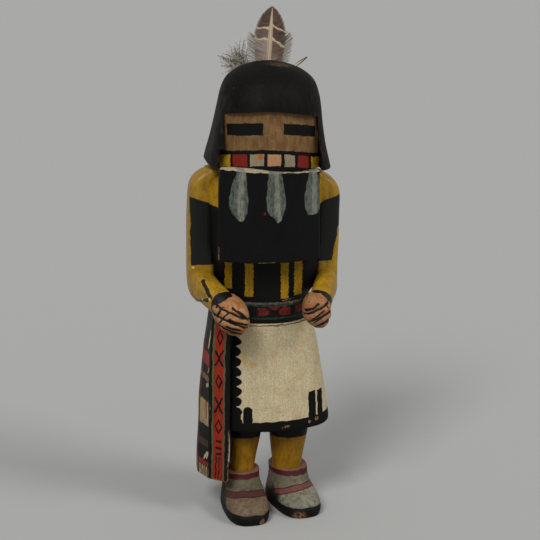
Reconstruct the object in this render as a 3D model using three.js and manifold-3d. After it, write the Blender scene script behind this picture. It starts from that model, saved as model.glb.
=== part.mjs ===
// A carved and painted cottonwood kachina doll with feathers set in its crown.
// Millimetres, +Z up, the doll looks along -Y and its right arm is at -X.
import * as THREE from 'three';
import { mergeVertices } from 'three/addons/utils/BufferGeometryUtils.js';
import Module from 'manifold-3d';

const wasm = await Module();
wasm.setup();

// Driving sizes
const FIGURE_HEIGHT = 246; // soles to crown, without the feathers
const BEARD_THICKNESS = 14; // from the middle of its front to its flat back
const FACE_RECESS = 1.6; // how far the fringe stands in front of the face
const BELT_RAISE = 0.9; // how far the belt stands out of the waist
const FINGER_GROOVE = 0.9; // width and depth of the cuts between the fingers
const SHOE_LENGTH = 44;
const SHOE_WIDTH = 23.8;

// Feathers and the holes that hold them
const QUILL_RADIUS = 0.8;
const SOCKET_CLEARANCE = 0.3; // free space round and below a quill
const SOCKET_DEPTH = 7; // how deep a quill goes into the wood
const TALL_FEATHER_LENGTH = 26.6; // standing out of the crown
const TALL_FEATHER_WIDTH = 17;
const BACK_FEATHER_LENGTH = 17;
const BACK_FEATHER_WIDTH = 22;
const TUFT_LENGTH = 19;
const TUFT_WIDTH = 13;
const STRAND_LENGTH = 12;
const STRAND_WIDTH = 3;
const FEATHER_THICKNESS = 0.9; // of a vane, at its rachis

// The figure's proportions are counted in 246ths of its height
const PART = FIGURE_HEIGHT / 246;
const HEAD_TILT = 0.045; // the head leans to its left by this slope
const TOE_OUT = THREE.MathUtils.degToRad(14); // of the left shoe
const RIGHT_SHOE_TURN = THREE.MathUtils.degToRad(5);
const FINGERS = 4;

// Each row is level, centre x, centre y, half width, half depth, squareness
const HEAD_ROWS = [
  [192.3, 0.3, -1, 32.7, 28.8, 3.5],
  [197, 0.4, -1, 31.6, 28.9, 3.3],
  [204, 0.6, -1, 29.8, 29.1, 3.1],
  [213, 1.0, -1, 28.3, 29.4, 2.8],
  [222, 1.5, -1, 26.9, 29.6, 2.6],
  [230, 1.9, -0.8, 25.5, 27.9, 2.3],
  [237, 2.1, -0.5, 22.3, 24.0, 2.2],
  [242, 2.3, -0.2, 16.2, 17.6, 2.1],
  [244.4, 2.4, 0, 10.5, 11.7, 2],
  [245.6, 2.4, 0, 5.2, 5.9, 2],
  [246, 2.4, 0, 1.6, 1.8, 2],
];
const NECK_ROWS = [
  [180, 0, 0, 20, 15, 2.2],
  [198, 0.4, 0, 20, 16, 2.2],
];
const TORSO_ROWS = [
  [112, 0, -0.5, 21.5, 19.4, 2.1],
  [121, 0, -0.5, 23.0, 19.4, 2.1],
  [127, -0.3, -0.5, 27.2, 19.5, 2.2],
  [136, -0.6, -0.5, 29.4, 19.6, 2.4],
  [150, -1, -0.5, 30.4, 19.6, 2.5],
  [168, -1.2, -0.5, 31.0, 19.2, 2.7],
  [178, -1.2, -0.3, 31.5, 17.8, 2.8],
  [184, -0.9, 0, 30.5, 15.8, 2.6],
  [189, -0.4, 0, 25.0, 12.5, 2.4],
];
const KILT_ROWS = [
  [49, 0.2, 0.3, 33.8, 23.6, 2.15],
  [53, 0.3, 0.2, 33.9, 23.7, 2.15],
  [69, 0.3, 0, 31.3, 22.6, 2.15],
  [85, 0.2, -0.2, 28.9, 21.4, 2.1],
  [99, 0.2, -0.4, 26.3, 20.3, 2.1],
  [109, 0, -0.5, 22.4, 19.8, 2.1],
];
const RIGHT_ARM_ROWS = [
  [118.5, -33.8, -3.0, 3.8, 4.8, 3],
  [120.5, -34.5, -2.6, 5.6, 7.2, 3.4],
  [124.5, -35.3, -1.8, 6.8, 8.6, 4],
  [131, -35.6, -1.2, 7.0, 8.9, 4.4],
  [148, -35.4, -0.6, 7.1, 8.8, 4.6],
  [166, -34.9, 0, 7.2, 8.8, 4.6],
  [176, -34.3, 0, 7.3, 8.8, 4.2],
  [181.5, -32.6, 0, 7.3, 8.4, 3.4],
  [185.5, -29.6, 0, 6.6, 7.6, 3],
  [188.5, -25.5, 0, 4.6, 6.6, 2.6],
];
const LEFT_ARM_ROWS = [
  [117.2, 31.4, -3.4, 3.2, 4.5, 3],
  [119.2, 31.9, -3.0, 4.6, 6.8, 3.4],
  [123.4, 32.0, -2.2, 5.6, 8.4, 4],
  [131, 31.8, -1.4, 6.0, 8.8, 4.4],
  [148, 31.9, -0.6, 6.4, 8.8, 4.6],
  [164, 32.2, 0, 6.7, 8.8, 4.6],
  [174, 32.1, 0, 6.9, 8.8, 4.2],
  [179.5, 30.8, 0, 6.9, 8.4, 3.4],
  [183.5, 28.4, 0, 6.0, 7.6, 3],
  [186.5, 24.8, 0, 4.4, 6.6, 2.6],
];
const RIGHT_FIST_ROWS = [
  [107.8, -20.4, -32.0, 3.5, 4.4, 2.4],
  [110.0, -20.8, -32.6, 6.3, 6.9, 2.5],
  [113.8, -21.8, -33.0, 8.6, 8.6, 2.6],
  [118.2, -22.9, -32.8, 9.5, 8.8, 2.6],
  [122.4, -23.5, -31.6, 8.8, 8.2, 2.5],
  [125.6, -23.8, -30.0, 6.2, 6.3, 2.4],
  [127.5, -24.0, -29.0, 3.1, 3.5, 2.3],
];
const LEFT_FIST_ROWS = [
  [109.2, 24.2, -29.4, 2.6, 3.4, 2.4],
  [111.0, 23.6, -30.0, 4.8, 5.7, 2.5],
  [114.6, 22.7, -30.4, 7.0, 7.5, 2.6],
  [118.6, 22.5, -30.4, 7.5, 7.8, 2.6],
  [122.2, 22.6, -29.4, 7.0, 7.3, 2.5],
  [125.0, 22.2, -28.2, 4.9, 5.5, 2.4],
  [126.6, 22.0, -27.4, 2.6, 3.3, 2.3],
];
const RIGHT_LEG_ROWS = [
  [12, -14.0, -2.2, 6.6, 7.0, 2.2],
  [24, -13.8, -2.4, 6.9, 7.4, 2.2],
  [41, -12.1, -2.2, 8.4, 8.6, 2.2],
  [54, -11.9, -2.0, 9.4, 9.4, 2.2],
];
const LEFT_LEG_ROWS = [
  [12, 11.4, -1.4, 7.2, 7.0, 2.2],
  [24, 11.2, -1.8, 7.9, 7.6, 2.2],
  [43, 12.0, -2.6, 10.6, 9.4, 2.2],
  [54, 12.4, -2.2, 11.2, 10.2, 2.2],
];
// Across the shoe's length, as shares of its half width and half length
const SHOE_ROWS = [
  [0, 0, 0, 0.93, 0.96, 2.9],
  [0.19, 0, 0, 1.0, 1.0, 2.9],
  [0.42, 0, 0.05, 0.95, 0.93, 2.7],
  [0.62, 0, 0.27, 0.88, 0.66, 2.3],
];
const SHOE_HEIGHT = 22.4 * PART;
// How far back the collar's middle lies and how long it is from there, as shares of the half length
const RIGHT_COLLAR = { back: 0.46, length: 0.44 };
const LEFT_COLLAR = { back: 0.36, length: 0.55 };

// Corners of the side sash seen from above, front to back and round the inside
const SASH_ROWS = [
  [21, [-23.5, -22.4], [-25, -6], [-26, 9], [-37.9, 8.4], [-38.6, -2.6], [-33.4, -15.6]],
  [61, [-22.6, -22.6], [-21, -6], [-22, 9], [-36.2, 8.4], [-37.0, -1.6], [-33.0, -16.4]],
  [92, [-22.4, -21.2], [-18, -6], [-18, 8], [-33.1, 8.2], [-33.9, -1.0], [-32.2, -16.6]],
  [116, [-21.0, -20.0], [-14, -6], [-14, 7], [-29.6, 7.4], [-30.4, -0.6], [-30.4, -15.6]],
];

// Returns the rows with smooth rows between them, on a curve through each column
function smoothRows(rows, between) {
  const out = [];
  for (let i = 0; i < rows.length - 1; i += 1) {
    const near = (k) => rows[THREE.MathUtils.clamp(i + k, 0, rows.length - 1)];
    const [a, b, c, d] = [-1, 0, 1, 2].map(near);
    for (let k = 0; k < between; k += 1) {
      const t = k / between;
      out.push(b.map((_, j) => catmullRom(a[j], b[j], c[j], d[j], t)));
    }
  }
  out.push(rows[rows.length - 1]);
  return out;
}

function catmullRom(a, b, c, d, t) {
  const slopeIn = (c - a) / 2;
  const slopeOut = (d - b) / 2;
  const t2 = t * t;
  const t3 = t2 * t;
  const fromStart = (2 * t3 - 3 * t2 + 1) * b + (t3 - 2 * t2 + t) * slopeIn;
  return fromStart + (3 * t2 - 2 * t3) * c + (t3 - t2) * slopeOut;
}

// A rounded rectangle between an ellipse (squareness 2) and a box (large), counter-clockwise
function superellipse(halfWidth, halfDepth, squareness, sides) {
  const points = [];
  for (let k = 0; k < sides; k += 1) {
    const turn = (2 * Math.PI * (k + 0.5)) / sides;
    const u = Math.sign(Math.cos(turn)) * Math.abs(Math.cos(turn)) ** (2 / squareness);
    const v = Math.sign(Math.sin(turn)) * Math.abs(Math.sin(turn)) ** (2 / squareness);
    points.push([halfWidth * u, halfDepth * v]);
  }
  return points;
}

// A closed body through rings of equally many points, each ring counter-clockwise seen from the next
function loft(rings) {
  const count = rings[0].length;
  const middle = (ring) => ring.reduce((sum, p) => sum.add(p), new THREE.Vector3()).divideScalar(count);
  const points = [...rings.flat(), middle(rings[0]), middle(rings[rings.length - 1])];
  const bottom = points.length - 2;
  const top = points.length - 1;
  const last = (rings.length - 1) * count;
  const index = [];
  for (let k = 0; k < count; k += 1) {
    const next = (k + 1) % count;
    for (let r = 0; r < rings.length - 1; r += 1) {
      const [a, b] = [r * count + k, r * count + next];
      index.push(a, b, b + count, a, b + count, a + count);
    }
    index.push(bottom, next, k, top, last + k, last + next);
  }
  const geometry = new THREE.BufferGeometry().setFromPoints(points);
  geometry.setIndex(index);
  return geometry;
}

// A body of level superellipse sections; lean is the slope of each section from side to side
function levelLoft(rows, sides, between = 1, lean = 0) {
  return loft(smoothRows(rows, between).map(([level, x, y, halfWidth, halfDepth, squareness]) => (
    superellipse(halfWidth, halfDepth, squareness, sides)
      .map(([u, v]) => new THREE.Vector3(x + u, y + v, level - lean * u).multiplyScalar(PART))
  )));
}

// A body along a path: rows are x, y, z, half size across, half size up, squareness, in millimetres
function pathLoft(rows, sides) {
  const at = rows.map(([x, y, z]) => new THREE.Vector3(x, y, z));
  return loft(rows.map(([, , , across, up, squareness], i) => {
    const tangent = at[Math.min(i + 1, at.length - 1)].clone().sub(at[Math.max(i - 1, 0)]).normalize();
    const side = new THREE.Vector3(1, 0, 0).addScaledVector(tangent, -tangent.x).normalize();
    const rise = new THREE.Vector3().crossVectors(tangent, side);
    return superellipse(across, up, squareness, sides)
      .map(([u, v]) => at[i].clone().addScaledVector(side, u).addScaledVector(rise, v));
  }));
}

function solid(geometry) {
  const bare = geometry.clone();
  bare.deleteAttribute('normal');
  bare.deleteAttribute('uv');
  const merged = mergeVertices(bare, 1e-4);
  return new wasm.Manifold(new wasm.Mesh({
    numProp: 3,
    vertProperties: new Float32Array(merged.attributes.position.array),
    triVerts: new Uint32Array(merged.index.array),
  }));
}

function geometryOf(body) {
  const { vertProperties, triVerts } = body.getMesh();
  const geometry = new THREE.BufferGeometry();
  geometry.setAttribute('position', new THREE.BufferAttribute(new Float32Array(vertProperties), 3));
  geometry.setIndex(new THREE.BufferAttribute(new Uint32Array(triVerts), 1));
  return geometry;
}

// Head: a helmet of hair, with the face cut back to a smaller cylinder under the fringe
const FACE_RADIUS = 30.5 * PART;
const FACE_HALF_ANGLE = THREE.MathUtils.degToRad(52);
const FACE_FRONT = 30.5 * PART - FACE_RECESS;
const FACE_LEVELS = [188 * PART, 221.5 * PART];

function faceCut() {
  const shape = new THREE.Shape();
  const outer = FACE_RADIUS + 14 * PART;
  shape.absarc(0, 0, outer, -Math.PI / 2 - FACE_HALF_ANGLE, -Math.PI / 2 + FACE_HALF_ANGLE, false);
  shape.absarc(0, 0, FACE_RADIUS, -Math.PI / 2 + FACE_HALF_ANGLE, -Math.PI / 2 - FACE_HALF_ANGLE, true);
  const depth = FACE_LEVELS[1] - FACE_LEVELS[0];
  const cut = new THREE.ExtrudeGeometry(shape, { depth, bevelEnabled: false, curveSegments: 14 });
  cut.translate(0, FACE_RADIUS - FACE_FRONT, FACE_LEVELS[0]);
  cut.rotateY(Math.atan(HEAD_TILT));
  cut.translate(-FACE_LEVELS[0] * HEAD_TILT + 0.2 * PART, 0, 0);
  return cut;
}

// Beard: a board with a bowed front, hung under the face
const BEARD_LEVELS = [145 * PART, 192.6 * PART];
const BEARD_HALF_WIDTHS = [26.9 * PART, 25.9 * PART];
const BEARD_CENTRES = [-2.0 * PART, -1.3 * PART];
const BEARD_FRONT = 34.2 * PART;
const BEARD_BOW = 8.2 * PART;
const BEARD_STEPS = 12;

function beardRing(end) {
  const points = [];
  const half = BEARD_HALF_WIDTHS[end];
  for (let k = 0; k <= BEARD_STEPS; k += 1) {
    const u = -1 + (2 * k) / BEARD_STEPS;
    points.push([u * half, -BEARD_FRONT + BEARD_BOW * u * u]);
  }
  points.push([half, BEARD_THICKNESS - BEARD_FRONT], [-half, BEARD_THICKNESS - BEARD_FRONT]);
  const lean = end === 1 ? HEAD_TILT : 0;
  return points.map(([x, y]) => new THREE.Vector3(BEARD_CENTRES[end] + x, y, BEARD_LEVELS[end] - lean * x));
}

// Sash: a faceted panel down the right hip that hangs below the hem
function sash() {
  return loft(SASH_ROWS.map(([level, ...corners]) => (
    corners.map(([x, y]) => new THREE.Vector3(x, y, level).multiplyScalar(PART))
  )));
}

// Forearms come forward from the elbow to the fist
const RIGHT_FOREARM = [
  [-36.4, 2, 131, 6.2, 7.2, 3],
  [-36.0, -6, 129.6, 6.2, 7.8, 3],
  [-32.4, -17, 126.8, 6.2, 7.4, 2.8],
  [-27.4, -27, 123.2, 6.2, 6.8, 2.6],
  [-25.0, -31, 121.4, 6.0, 6.6, 2.4],
];
const LEFT_FOREARM = [
  [32.4, 2, 130, 5.4, 7.0, 3],
  [31.8, -6, 128.2, 5.6, 7.4, 3],
  [29.2, -15, 125.2, 6.0, 7.2, 2.8],
  [25.8, -23.5, 121.6, 6.2, 6.6, 2.6],
  [24.4, -27.5, 119.8, 6.0, 6.2, 2.4],
];

function forearm(rows) {
  return pathLoft(rows.map((row) => row.map((value, i) => (i < 5 ? value * PART : value))), 20);
}

// Cuts between the fingers, slanting down across the front of a fist
function fingerCuts(x, y, level, width, slant) {
  const cuts = [];
  for (let k = 1; k < FINGERS; k += 1) {
    const cut = new THREE.BoxGeometry(width, 2 * FINGER_GROOVE, FINGER_GROOVE);
    cut.rotateX(0.2);
    cut.rotateY(slant);
    cut.translate(x, y, level - (k - FINGERS / 2) * 4.4 * PART);
    cuts.push(cut);
  }
  return cuts;
}

// A shoe about its own middle: wide sole, vamp sloping up to a round collar at the heel end
function shoe(x, y, turn, collar) {
  const ankle = [0.8, 0, collar.back - 0.04, 0.83, collar.length + 0.06, 2.2];
  const rim = [1, 0, collar.back, 0.86, collar.length, 2.1];
  const rows = smoothRows([...SHOE_ROWS, ankle, rim], 2);
  const rings = rows.map(([height, , back, width, length, squareness]) => (
    superellipse((width * SHOE_WIDTH) / 2, (length * SHOE_LENGTH) / 2, squareness, 28)
      .map(([u, v]) => new THREE.Vector3(u, v + (back * SHOE_LENGTH) / 2, height * SHOE_HEIGHT))
  ));
  const body = loft(rings);
  body.rotateZ(turn);
  body.translate(x, y, 0);
  return body;
}

// Feathers: rows run up the rachis from the quill's foot
const CROWN = new THREE.Vector3(2.4 * PART, 5 * PART, 245.2 * PART);
const CROWN_ROUNDING = 0.022; // drop of the crown per square of the distance from its top, in parts

function featherRows({ foot, lean, length, width, widest, bare, base }) {
  const direction = new THREE.Vector3(lean[0], lean[1], 1).normalize();
  const start = bare * length;
  const middle = (base + 1) / 2;
  const vane = [[0, base], [0.12, middle], [0.3, 0.95], [widest, 1], [0.75, 0.84], [0.9, 0.5], [1, 0.12]];
  const below = [[-SOCKET_DEPTH, QUILL_RADIUS, QUILL_RADIUS], [start / 2, QUILL_RADIUS, QUILL_RADIUS]];
  const blade = vane.map(([share, breadth]) => (
    [start + share * (length - start), (breadth * width) / 2, FEATHER_THICKNESS / 2]
  ));
  return [...below, ...blade].map(([along, across, up]) => {
    const at = foot.clone().addScaledVector(direction, along);
    return [at.x, at.y, at.z, across, up, 2];
  });
}

function socket(foot, lean) {
  const direction = new THREE.Vector3(lean[0], lean[1], 1).normalize();
  const radius = QUILL_RADIUS + SOCKET_CLEARANCE;
  return pathLoft([-SOCKET_DEPTH - SOCKET_CLEARANCE, 6 * PART].map((along) => {
    const at = foot.clone().addScaledVector(direction, along);
    return [at.x, at.y, at.z, radius, radius, 2];
  }), 16);
}

// Foot beside and behind the crown, in parts; lean per unit of rise; bare, base and widest are shares:
// bare of the length is quill below the vane, base of the width is where the vane starts, widest is how far up
const FEATHERS = [
  {
    name: 'tall_feather', dx: 0.4, dy: 5, lean: [0.08, 0.04], length: TALL_FEATHER_LENGTH,
    width: TALL_FEATHER_WIDTH, widest: 0.5, bare: 0.044, base: 0.5, color: 0x7a6656,
  },
  {
    name: 'back_feather', dx: 1.2, dy: 7.5, lean: [0.04, 0.1], length: BACK_FEATHER_LENGTH,
    width: BACK_FEATHER_WIDTH, widest: 0.6, bare: 0.094, base: 0.3, color: 0x8a7d70,
  },
  {
    name: 'speckled_tuft', dx: -8.4, dy: 12, lean: [-1.5, 0.2], length: TUFT_LENGTH,
    width: TUFT_WIDTH, widest: 0.7, bare: 0.158, base: 0.1, color: 0x4a443c,
  },
  {
    name: 'feather_strand', dx: 10.8, dy: 12, lean: [1.5, 0.2], length: STRAND_LENGTH,
    width: STRAND_WIDTH, widest: 0.5, bare: 0.2, base: 0.3, color: 0x6d5a4c,
  },
];

for (const feather of FEATHERS) {
  const drop = CROWN_ROUNDING * (feather.dx ** 2 + feather.dy ** 2);
  feather.foot = new THREE.Vector3(feather.dx, feather.dy, -drop).multiplyScalar(PART).add(CROWN);
  feather.rows = featherRows(feather);
}

// The carving is one block of wood: every form is joined, then the cuts are made
function carvedFigure() {
  const beltRows = [[108.6, 0], [110, 1], [119, 1], [120.4, 0]].map(([level, out]) => (
    [level, 0, -0.5, 22.2 + (out * BELT_RAISE) / PART, 19.6 + (out * BELT_RAISE) / PART, 2.1]
  ));
  const forms = [
    levelLoft(NECK_ROWS, 24),
    levelLoft(TORSO_ROWS, 36),
    levelLoft(KILT_ROWS, 40),
    levelLoft(beltRows, 40),
    levelLoft(RIGHT_ARM_ROWS, 28),
    levelLoft(LEFT_ARM_ROWS, 28),
    forearm(RIGHT_FOREARM),
    forearm(LEFT_FOREARM),
    levelLoft(RIGHT_FIST_ROWS, 22),
    levelLoft(LEFT_FIST_ROWS, 22),
    levelLoft(RIGHT_LEG_ROWS, 24),
    levelLoft(LEFT_LEG_ROWS, 24),
    loft([beardRing(0), beardRing(1)]),
    sash(),
    shoe(-13.6 * PART, -12.9 * PART, RIGHT_SHOE_TURN, RIGHT_COLLAR),
    shoe(14.0 * PART, -6.2 * PART, TOE_OUT, LEFT_COLLAR),
  ];
  const head = solid(levelLoft(HEAD_ROWS, 44, 1, HEAD_TILT)).subtract(solid(faceCut()));
  let figure = forms.reduce((whole, form) => whole.add(solid(form)), head);
  const cuts = [
    ...fingerCuts(-21.5 * PART, -42 * PART, 115 * PART, 22 * PART, 0.42),
    ...fingerCuts(22.8 * PART, -38.6 * PART, 115.6 * PART, 18 * PART, -0.42),
    ...FEATHERS.map((feather) => socket(feather.foot, feather.lean)),
  ];
  for (const cut of cuts) {
    figure = figure.subtract(solid(cut));
  }
  return geometryOf(figure);
}

const group = new THREE.Group();

function addMesh(name, geometry, color, roughness) {
  const mesh = new THREE.Mesh(geometry, new THREE.MeshStandardMaterial({ color, roughness, metalness: 0 }));
  mesh.name = name;
  group.add(mesh);
}

addMesh('carved_figure', carvedFigure(), 0x2a2620, 0.6);
for (const feather of FEATHERS) {
  addMesh(feather.name, pathLoft(feather.rows, 12), feather.color, 0.8);
}

// The middle of the whole outline stands over the origin
const box = new THREE.Box3().setFromObject(group);
const centre = box.getCenter(new THREE.Vector3());
group.position.set(-centre.x, -centre.y, -box.min.z);

export default group;
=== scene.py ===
# %% [markdown]
# # A carved and painted kachina doll
#
# The real doll is whittled from one piece of cottonwood root, painted with thin matt paints and finished
# with a few feathers pushed into holes in its crown. Its looks come from three things: long knife-cut
# forms that meet in crisp creases, paint laid on by hand over a wood grain that still shows, and wear
# down to bare wood at the edges. So the forms are numpy surfaces joined by a boolean, and the paint is
# node materials that read Object coordinates: the doll never bends, so every painted mark can be placed
# by its real position on the figure.

import math

import bpy
import numpy as np
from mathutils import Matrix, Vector


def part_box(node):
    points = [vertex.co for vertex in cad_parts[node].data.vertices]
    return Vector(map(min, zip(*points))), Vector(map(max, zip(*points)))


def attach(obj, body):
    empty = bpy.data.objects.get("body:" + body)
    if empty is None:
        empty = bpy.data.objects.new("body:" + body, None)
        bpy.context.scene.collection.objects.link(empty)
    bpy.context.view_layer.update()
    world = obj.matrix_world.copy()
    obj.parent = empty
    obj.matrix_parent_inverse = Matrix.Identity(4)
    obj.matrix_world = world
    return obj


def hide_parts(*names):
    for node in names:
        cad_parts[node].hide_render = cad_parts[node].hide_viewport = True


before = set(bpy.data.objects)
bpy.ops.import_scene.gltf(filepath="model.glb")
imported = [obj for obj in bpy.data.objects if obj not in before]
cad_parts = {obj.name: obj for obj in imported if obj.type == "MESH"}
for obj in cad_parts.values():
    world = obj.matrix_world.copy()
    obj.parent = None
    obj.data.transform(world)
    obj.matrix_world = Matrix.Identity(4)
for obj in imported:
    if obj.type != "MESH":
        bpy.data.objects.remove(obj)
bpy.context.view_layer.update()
figure_low, figure_high = (np.array(corner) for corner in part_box("carved_figure"))
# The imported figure's height in parts; the crown drawn here is a little flatter and ends one part lower
CROWN_HEIGHT = 246.07
PART = (figure_high[2] - figure_low[2]) / CROWN_HEIGHT
print("one part, a 246th of the figure's height, is", round(PART * 1000, 4), "mm")

# %% [markdown]
# ## How a form is described
#
# The figure's sizes are counted in parts, 246ths of its height, so the numbers read as millimetres on a
# doll that is 246 mm tall. A level form is a list of rows: level, centre x, centre y, half width, half
# depth and squareness. A squareness of 2 is an ellipse and a large one is a box, so one formula serves a
# leg, a kilt and a flat-sided arm. A Catmull-Rom curve fills in between the rows, which gives the long
# sweeps of a knife from few numbers. The other way would be a subdivided cage, but its edges soften
# everywhere, and these forms keep firm edges.

# %% Curves through rows
FRONT = -math.pi / 2
EDGE = 0.8
CAP_SHARES = (0.6, 0.2)


def catmull_rom(rows, count):
    """Points at equal steps along a Catmull-Rom curve.

    A cubic joins each two rows, and its slope at a row is half of the next row minus the last one.
    """
    rows = np.array(rows, float)
    place = np.linspace(0, len(rows) - 1, count)
    first = np.minimum(place.astype(int), len(rows) - 2)
    t = (place - first)[:, None]
    before, start, end, after = (rows[np.clip(first + k, 0, len(rows) - 1)] for k in (-1, 0, 1, 2))
    near_start = (2 * t**3 - 3 * t**2 + 1) * start + (t**3 - 2 * t**2 + t) * (end - before) / 2
    near_end = (3 * t**2 - 2 * t**3) * end + (t**3 - t**2) * (after - start) / 2
    return near_start + near_end


def even_rows(rows, count, edge):
    """The curve's rows at even steps of profile length, from edge over its foot to edge under its top."""
    dense = catmull_rom(rows, 40 * len(rows))
    run = np.concatenate([[0], np.cumsum(np.hypot(np.diff(dense[:, 0]), np.diff(dense[:, 3])))])
    low, high = np.interp([dense[0, 0] + edge, dense[-1, 0] - edge], dense[:, 0], run)
    steps = np.linspace(low, high, count)
    return np.column_stack([np.interp(steps, run, column) for column in dense.T])


# %% Sections and shells
def unit(vectors):
    """The same directions with length 1."""
    return vectors / np.linalg.norm(vectors, axis=-1, keepdims=True)


def section(half_width, half_depth, squareness, angle):
    """Superellipse in polar form: the radius at an angle is (|cos/width|^n + |sin/depth|^n)^(-1/n)."""
    reach_x = np.abs(np.cos(angle) / half_width) ** squareness
    reach_y = np.abs(np.sin(angle) / half_depth) ** squareness
    radius = (reach_x + reach_y) ** (-1 / squareness)
    return radius * np.cos(angle), radius * np.sin(angle)


def level_shell(rows, around, up, lean=0.0, edge=EDGE, steps=4):
    """Rings of level sections, sloped by lean; both ends turn over on a quarter circle of radius edge."""
    rows = even_rows(rows, up, edge)
    turn = np.linspace(0, math.pi / 2, steps + 1)[1:]
    ends = []
    for row, sign in ((rows[0], -1), (rows[-1], 1)):
        cap = np.repeat(row[None], steps + 2, axis=0)
        cap[:steps, 0] += sign * edge * np.sin(turn)
        cap[steps:, 0] += sign * edge
        cap[:steps, 3:5] -= edge * (1 - np.cos(turn))[:, None]
        cap[steps:, 3:5] = (cap[steps:, 3:5] - edge) * np.array(CAP_SHARES)[:, None]
        ends.append(cap)
    rows = np.concatenate([ends[0][::-1], rows, ends[1]])
    angle = FRONT + np.linspace(0, 2 * math.pi, around, endpoint=False)
    x, y = section(rows[:, 3:4], rows[:, 4:5], rows[:, 5:6], angle[None])
    return np.stack([rows[:, 1:2] + x, rows[:, 2:3] + y, rows[:, 0:1] - lean * x], axis=2)


def path_shell(rows, around, along):
    """Rings across a path: rows are x, y, z, half size across, half size up, squareness."""
    rows = catmull_rom(rows, along)
    tangent = unit(np.gradient(rows[:, :3], axis=0))
    side = unit(np.array([[1.0, 0, 0]]) - tangent * tangent[:, :1])
    rise = np.cross(tangent, side)
    angle = np.linspace(0, 2 * math.pi, around, endpoint=False)
    u, v = section(rows[:, 3:4], rows[:, 4:5], rows[:, 5:6], angle[None])
    return rows[:, None, :3] + u[:, :, None] * side[:, None] + v[:, :, None] * rise[:, None]


def outline_shell(rings, edge=EDGE, steps=4):
    """Rings of given outlines, lowest first; both ends turn over on a quarter circle and close inwards."""
    turn = np.linspace(0, math.pi / 2, steps + 1)[1:]
    ends = []
    for ring, sign in ((rings[0], -1), (rings[-1], 1)):
        ring[:, 2] -= sign * edge
        middle = ring[:, :2].mean(axis=0)
        reach = np.linalg.norm(ring[:, :2] - middle, axis=1)[:, None]
        cap = np.repeat(ring[None], steps + 2, axis=0)
        shrink = 1 - edge * (1 - np.cos(turn))[:, None, None] / reach
        for k, share in enumerate([*shrink, *CAP_SHARES]):
            cap[k, :, :2] = middle + (ring[:, :2] - middle) * share
            cap[k, :, 2] += sign * edge * (math.sin(turn[k]) if k < steps else 1)
        ends.append(cap)
    return np.concatenate([ends[0][::-1], rings, ends[1]])


# %% The carver's hand
HAND_WAVES = np.array([
    [0.21, 0.05, 0.17, 0.4], [0.07, 0.26, -0.11, 1.9], [-0.15, 0.12, 0.24, 3.1], [0.33, -0.2, 0.09, 5.2],
])
HAND_REACH, FADE_HEIGHT = 0.24, 12


def carve_by_hand(points):
    """Moves points by a smooth field, so that no edge is ruler-straight and forms that touch move together.

    The push along x is the mean of sin(a x + b y + c z + d) over the four waves, times a quarter of a part,
    and y and z read the same waves a quarter turn on. It fades out at the soles, which stay flat.
    """
    phase = points @ HAND_WAVES[:, :3].T + HAND_WAVES[:, 3]
    push = np.stack([np.sin(phase + k * math.pi / 2).mean(axis=-1) for k in range(3)], axis=-1)
    fade = np.clip(points[..., 2:3] / FADE_HEIGHT, 0, 1)
    return points + HAND_REACH * fade * push


# %% From a grid of points to a closed mesh
def place_on_figure(points):
    """Parts of the design to metres of the shared frame."""
    return points * PART + SHIFT


def linked(name, data):
    """A new object with this data in the scene."""
    piece = bpy.data.objects.new(name, data)
    bpy.context.scene.collection.objects.link(piece)
    return piece


def ring_quads(rings, around):
    """Quads between neighbouring rings of points, facing out."""
    here = np.arange(around)
    beside = (here + 1) % around
    row = np.arange(rings - 1)[:, None] * around
    quads = np.stack([row + here, row + beside, row + around + beside, row + around + here], axis=2)
    return quads.reshape(-1, 4).tolist()


def closed_mesh(name, grid, material):
    """Quads between neighbouring rings and a fan to one middle point at each end, all facing out."""
    rings, around = grid.shape[:2]
    points = np.concatenate([grid.reshape(-1, 3), [grid[0].mean(axis=0), grid[-1].mean(axis=0)]])
    here = np.arange(around)
    beside = (here + 1) % around
    last = (rings - 1) * around
    bottom = np.column_stack([np.full(around, len(points) - 2), beside, here])
    top = np.column_stack([np.full(around, len(points) - 1), last + here, last + beside])
    mesh = bpy.data.meshes.new(name)
    faces = [*ring_quads(rings, around), *bottom.tolist(), *top.tolist()]
    mesh.from_pydata(place_on_figure(carve_by_hand(points)).tolist(), [], faces)
    mesh.polygons.foreach_set("use_smooth", np.ones(len(mesh.polygons), bool))
    mesh.materials.append(material)
    return linked(name, mesh)


# %% Rows of the carving
HEAD_TILT = 0.045
HEAD = [
    (192.3, 0.3, -1, 32.7, 28.8, 3.5), (197, 0.4, -1, 31.6, 28.9, 3.3), (204, 0.6, -1, 29.8, 29.1, 3.1),
    (213, 1.0, -1, 28.3, 29.4, 2.8), (222, 1.5, -1, 26.9, 29.6, 2.6), (230, 1.9, -0.8, 25.5, 27.9, 2.3),
    (236.6, 2.3, -0.5, 22.7, 24.2, 2.2), (241.2, 2.5, -0.2, 17.2, 18.4, 2.1),
    (243.5, 2.5, 0, 11.4, 12.6, 2), (244.6, 2.4, 0, 5.8, 6.6, 2), (245, 2.4, 0, 1.6, 1.8, 2),
]
NECK = [(180, 0, 0, 20, 15, 2.2), (198, 0.4, 0, 20, 16, 2.2)]
TORSO = [
    (112, 0, -0.5, 21.5, 19.4, 2.1), (121, 0, -0.5, 23.0, 19.4, 2.1), (127, -0.3, -0.5, 27.2, 19.5, 2.2),
    (136, -0.6, -0.5, 29.4, 19.6, 2.4), (150, -1, -0.5, 30.4, 19.6, 2.5),
    (168, -1.2, -0.5, 31.0, 19.2, 2.7), (178, -1.2, -0.3, 31.5, 17.8, 2.8),
    (184, -0.9, 0, 30.5, 15.8, 2.6), (189, -0.4, 0, 25.0, 12.5, 2.4),
]
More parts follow.
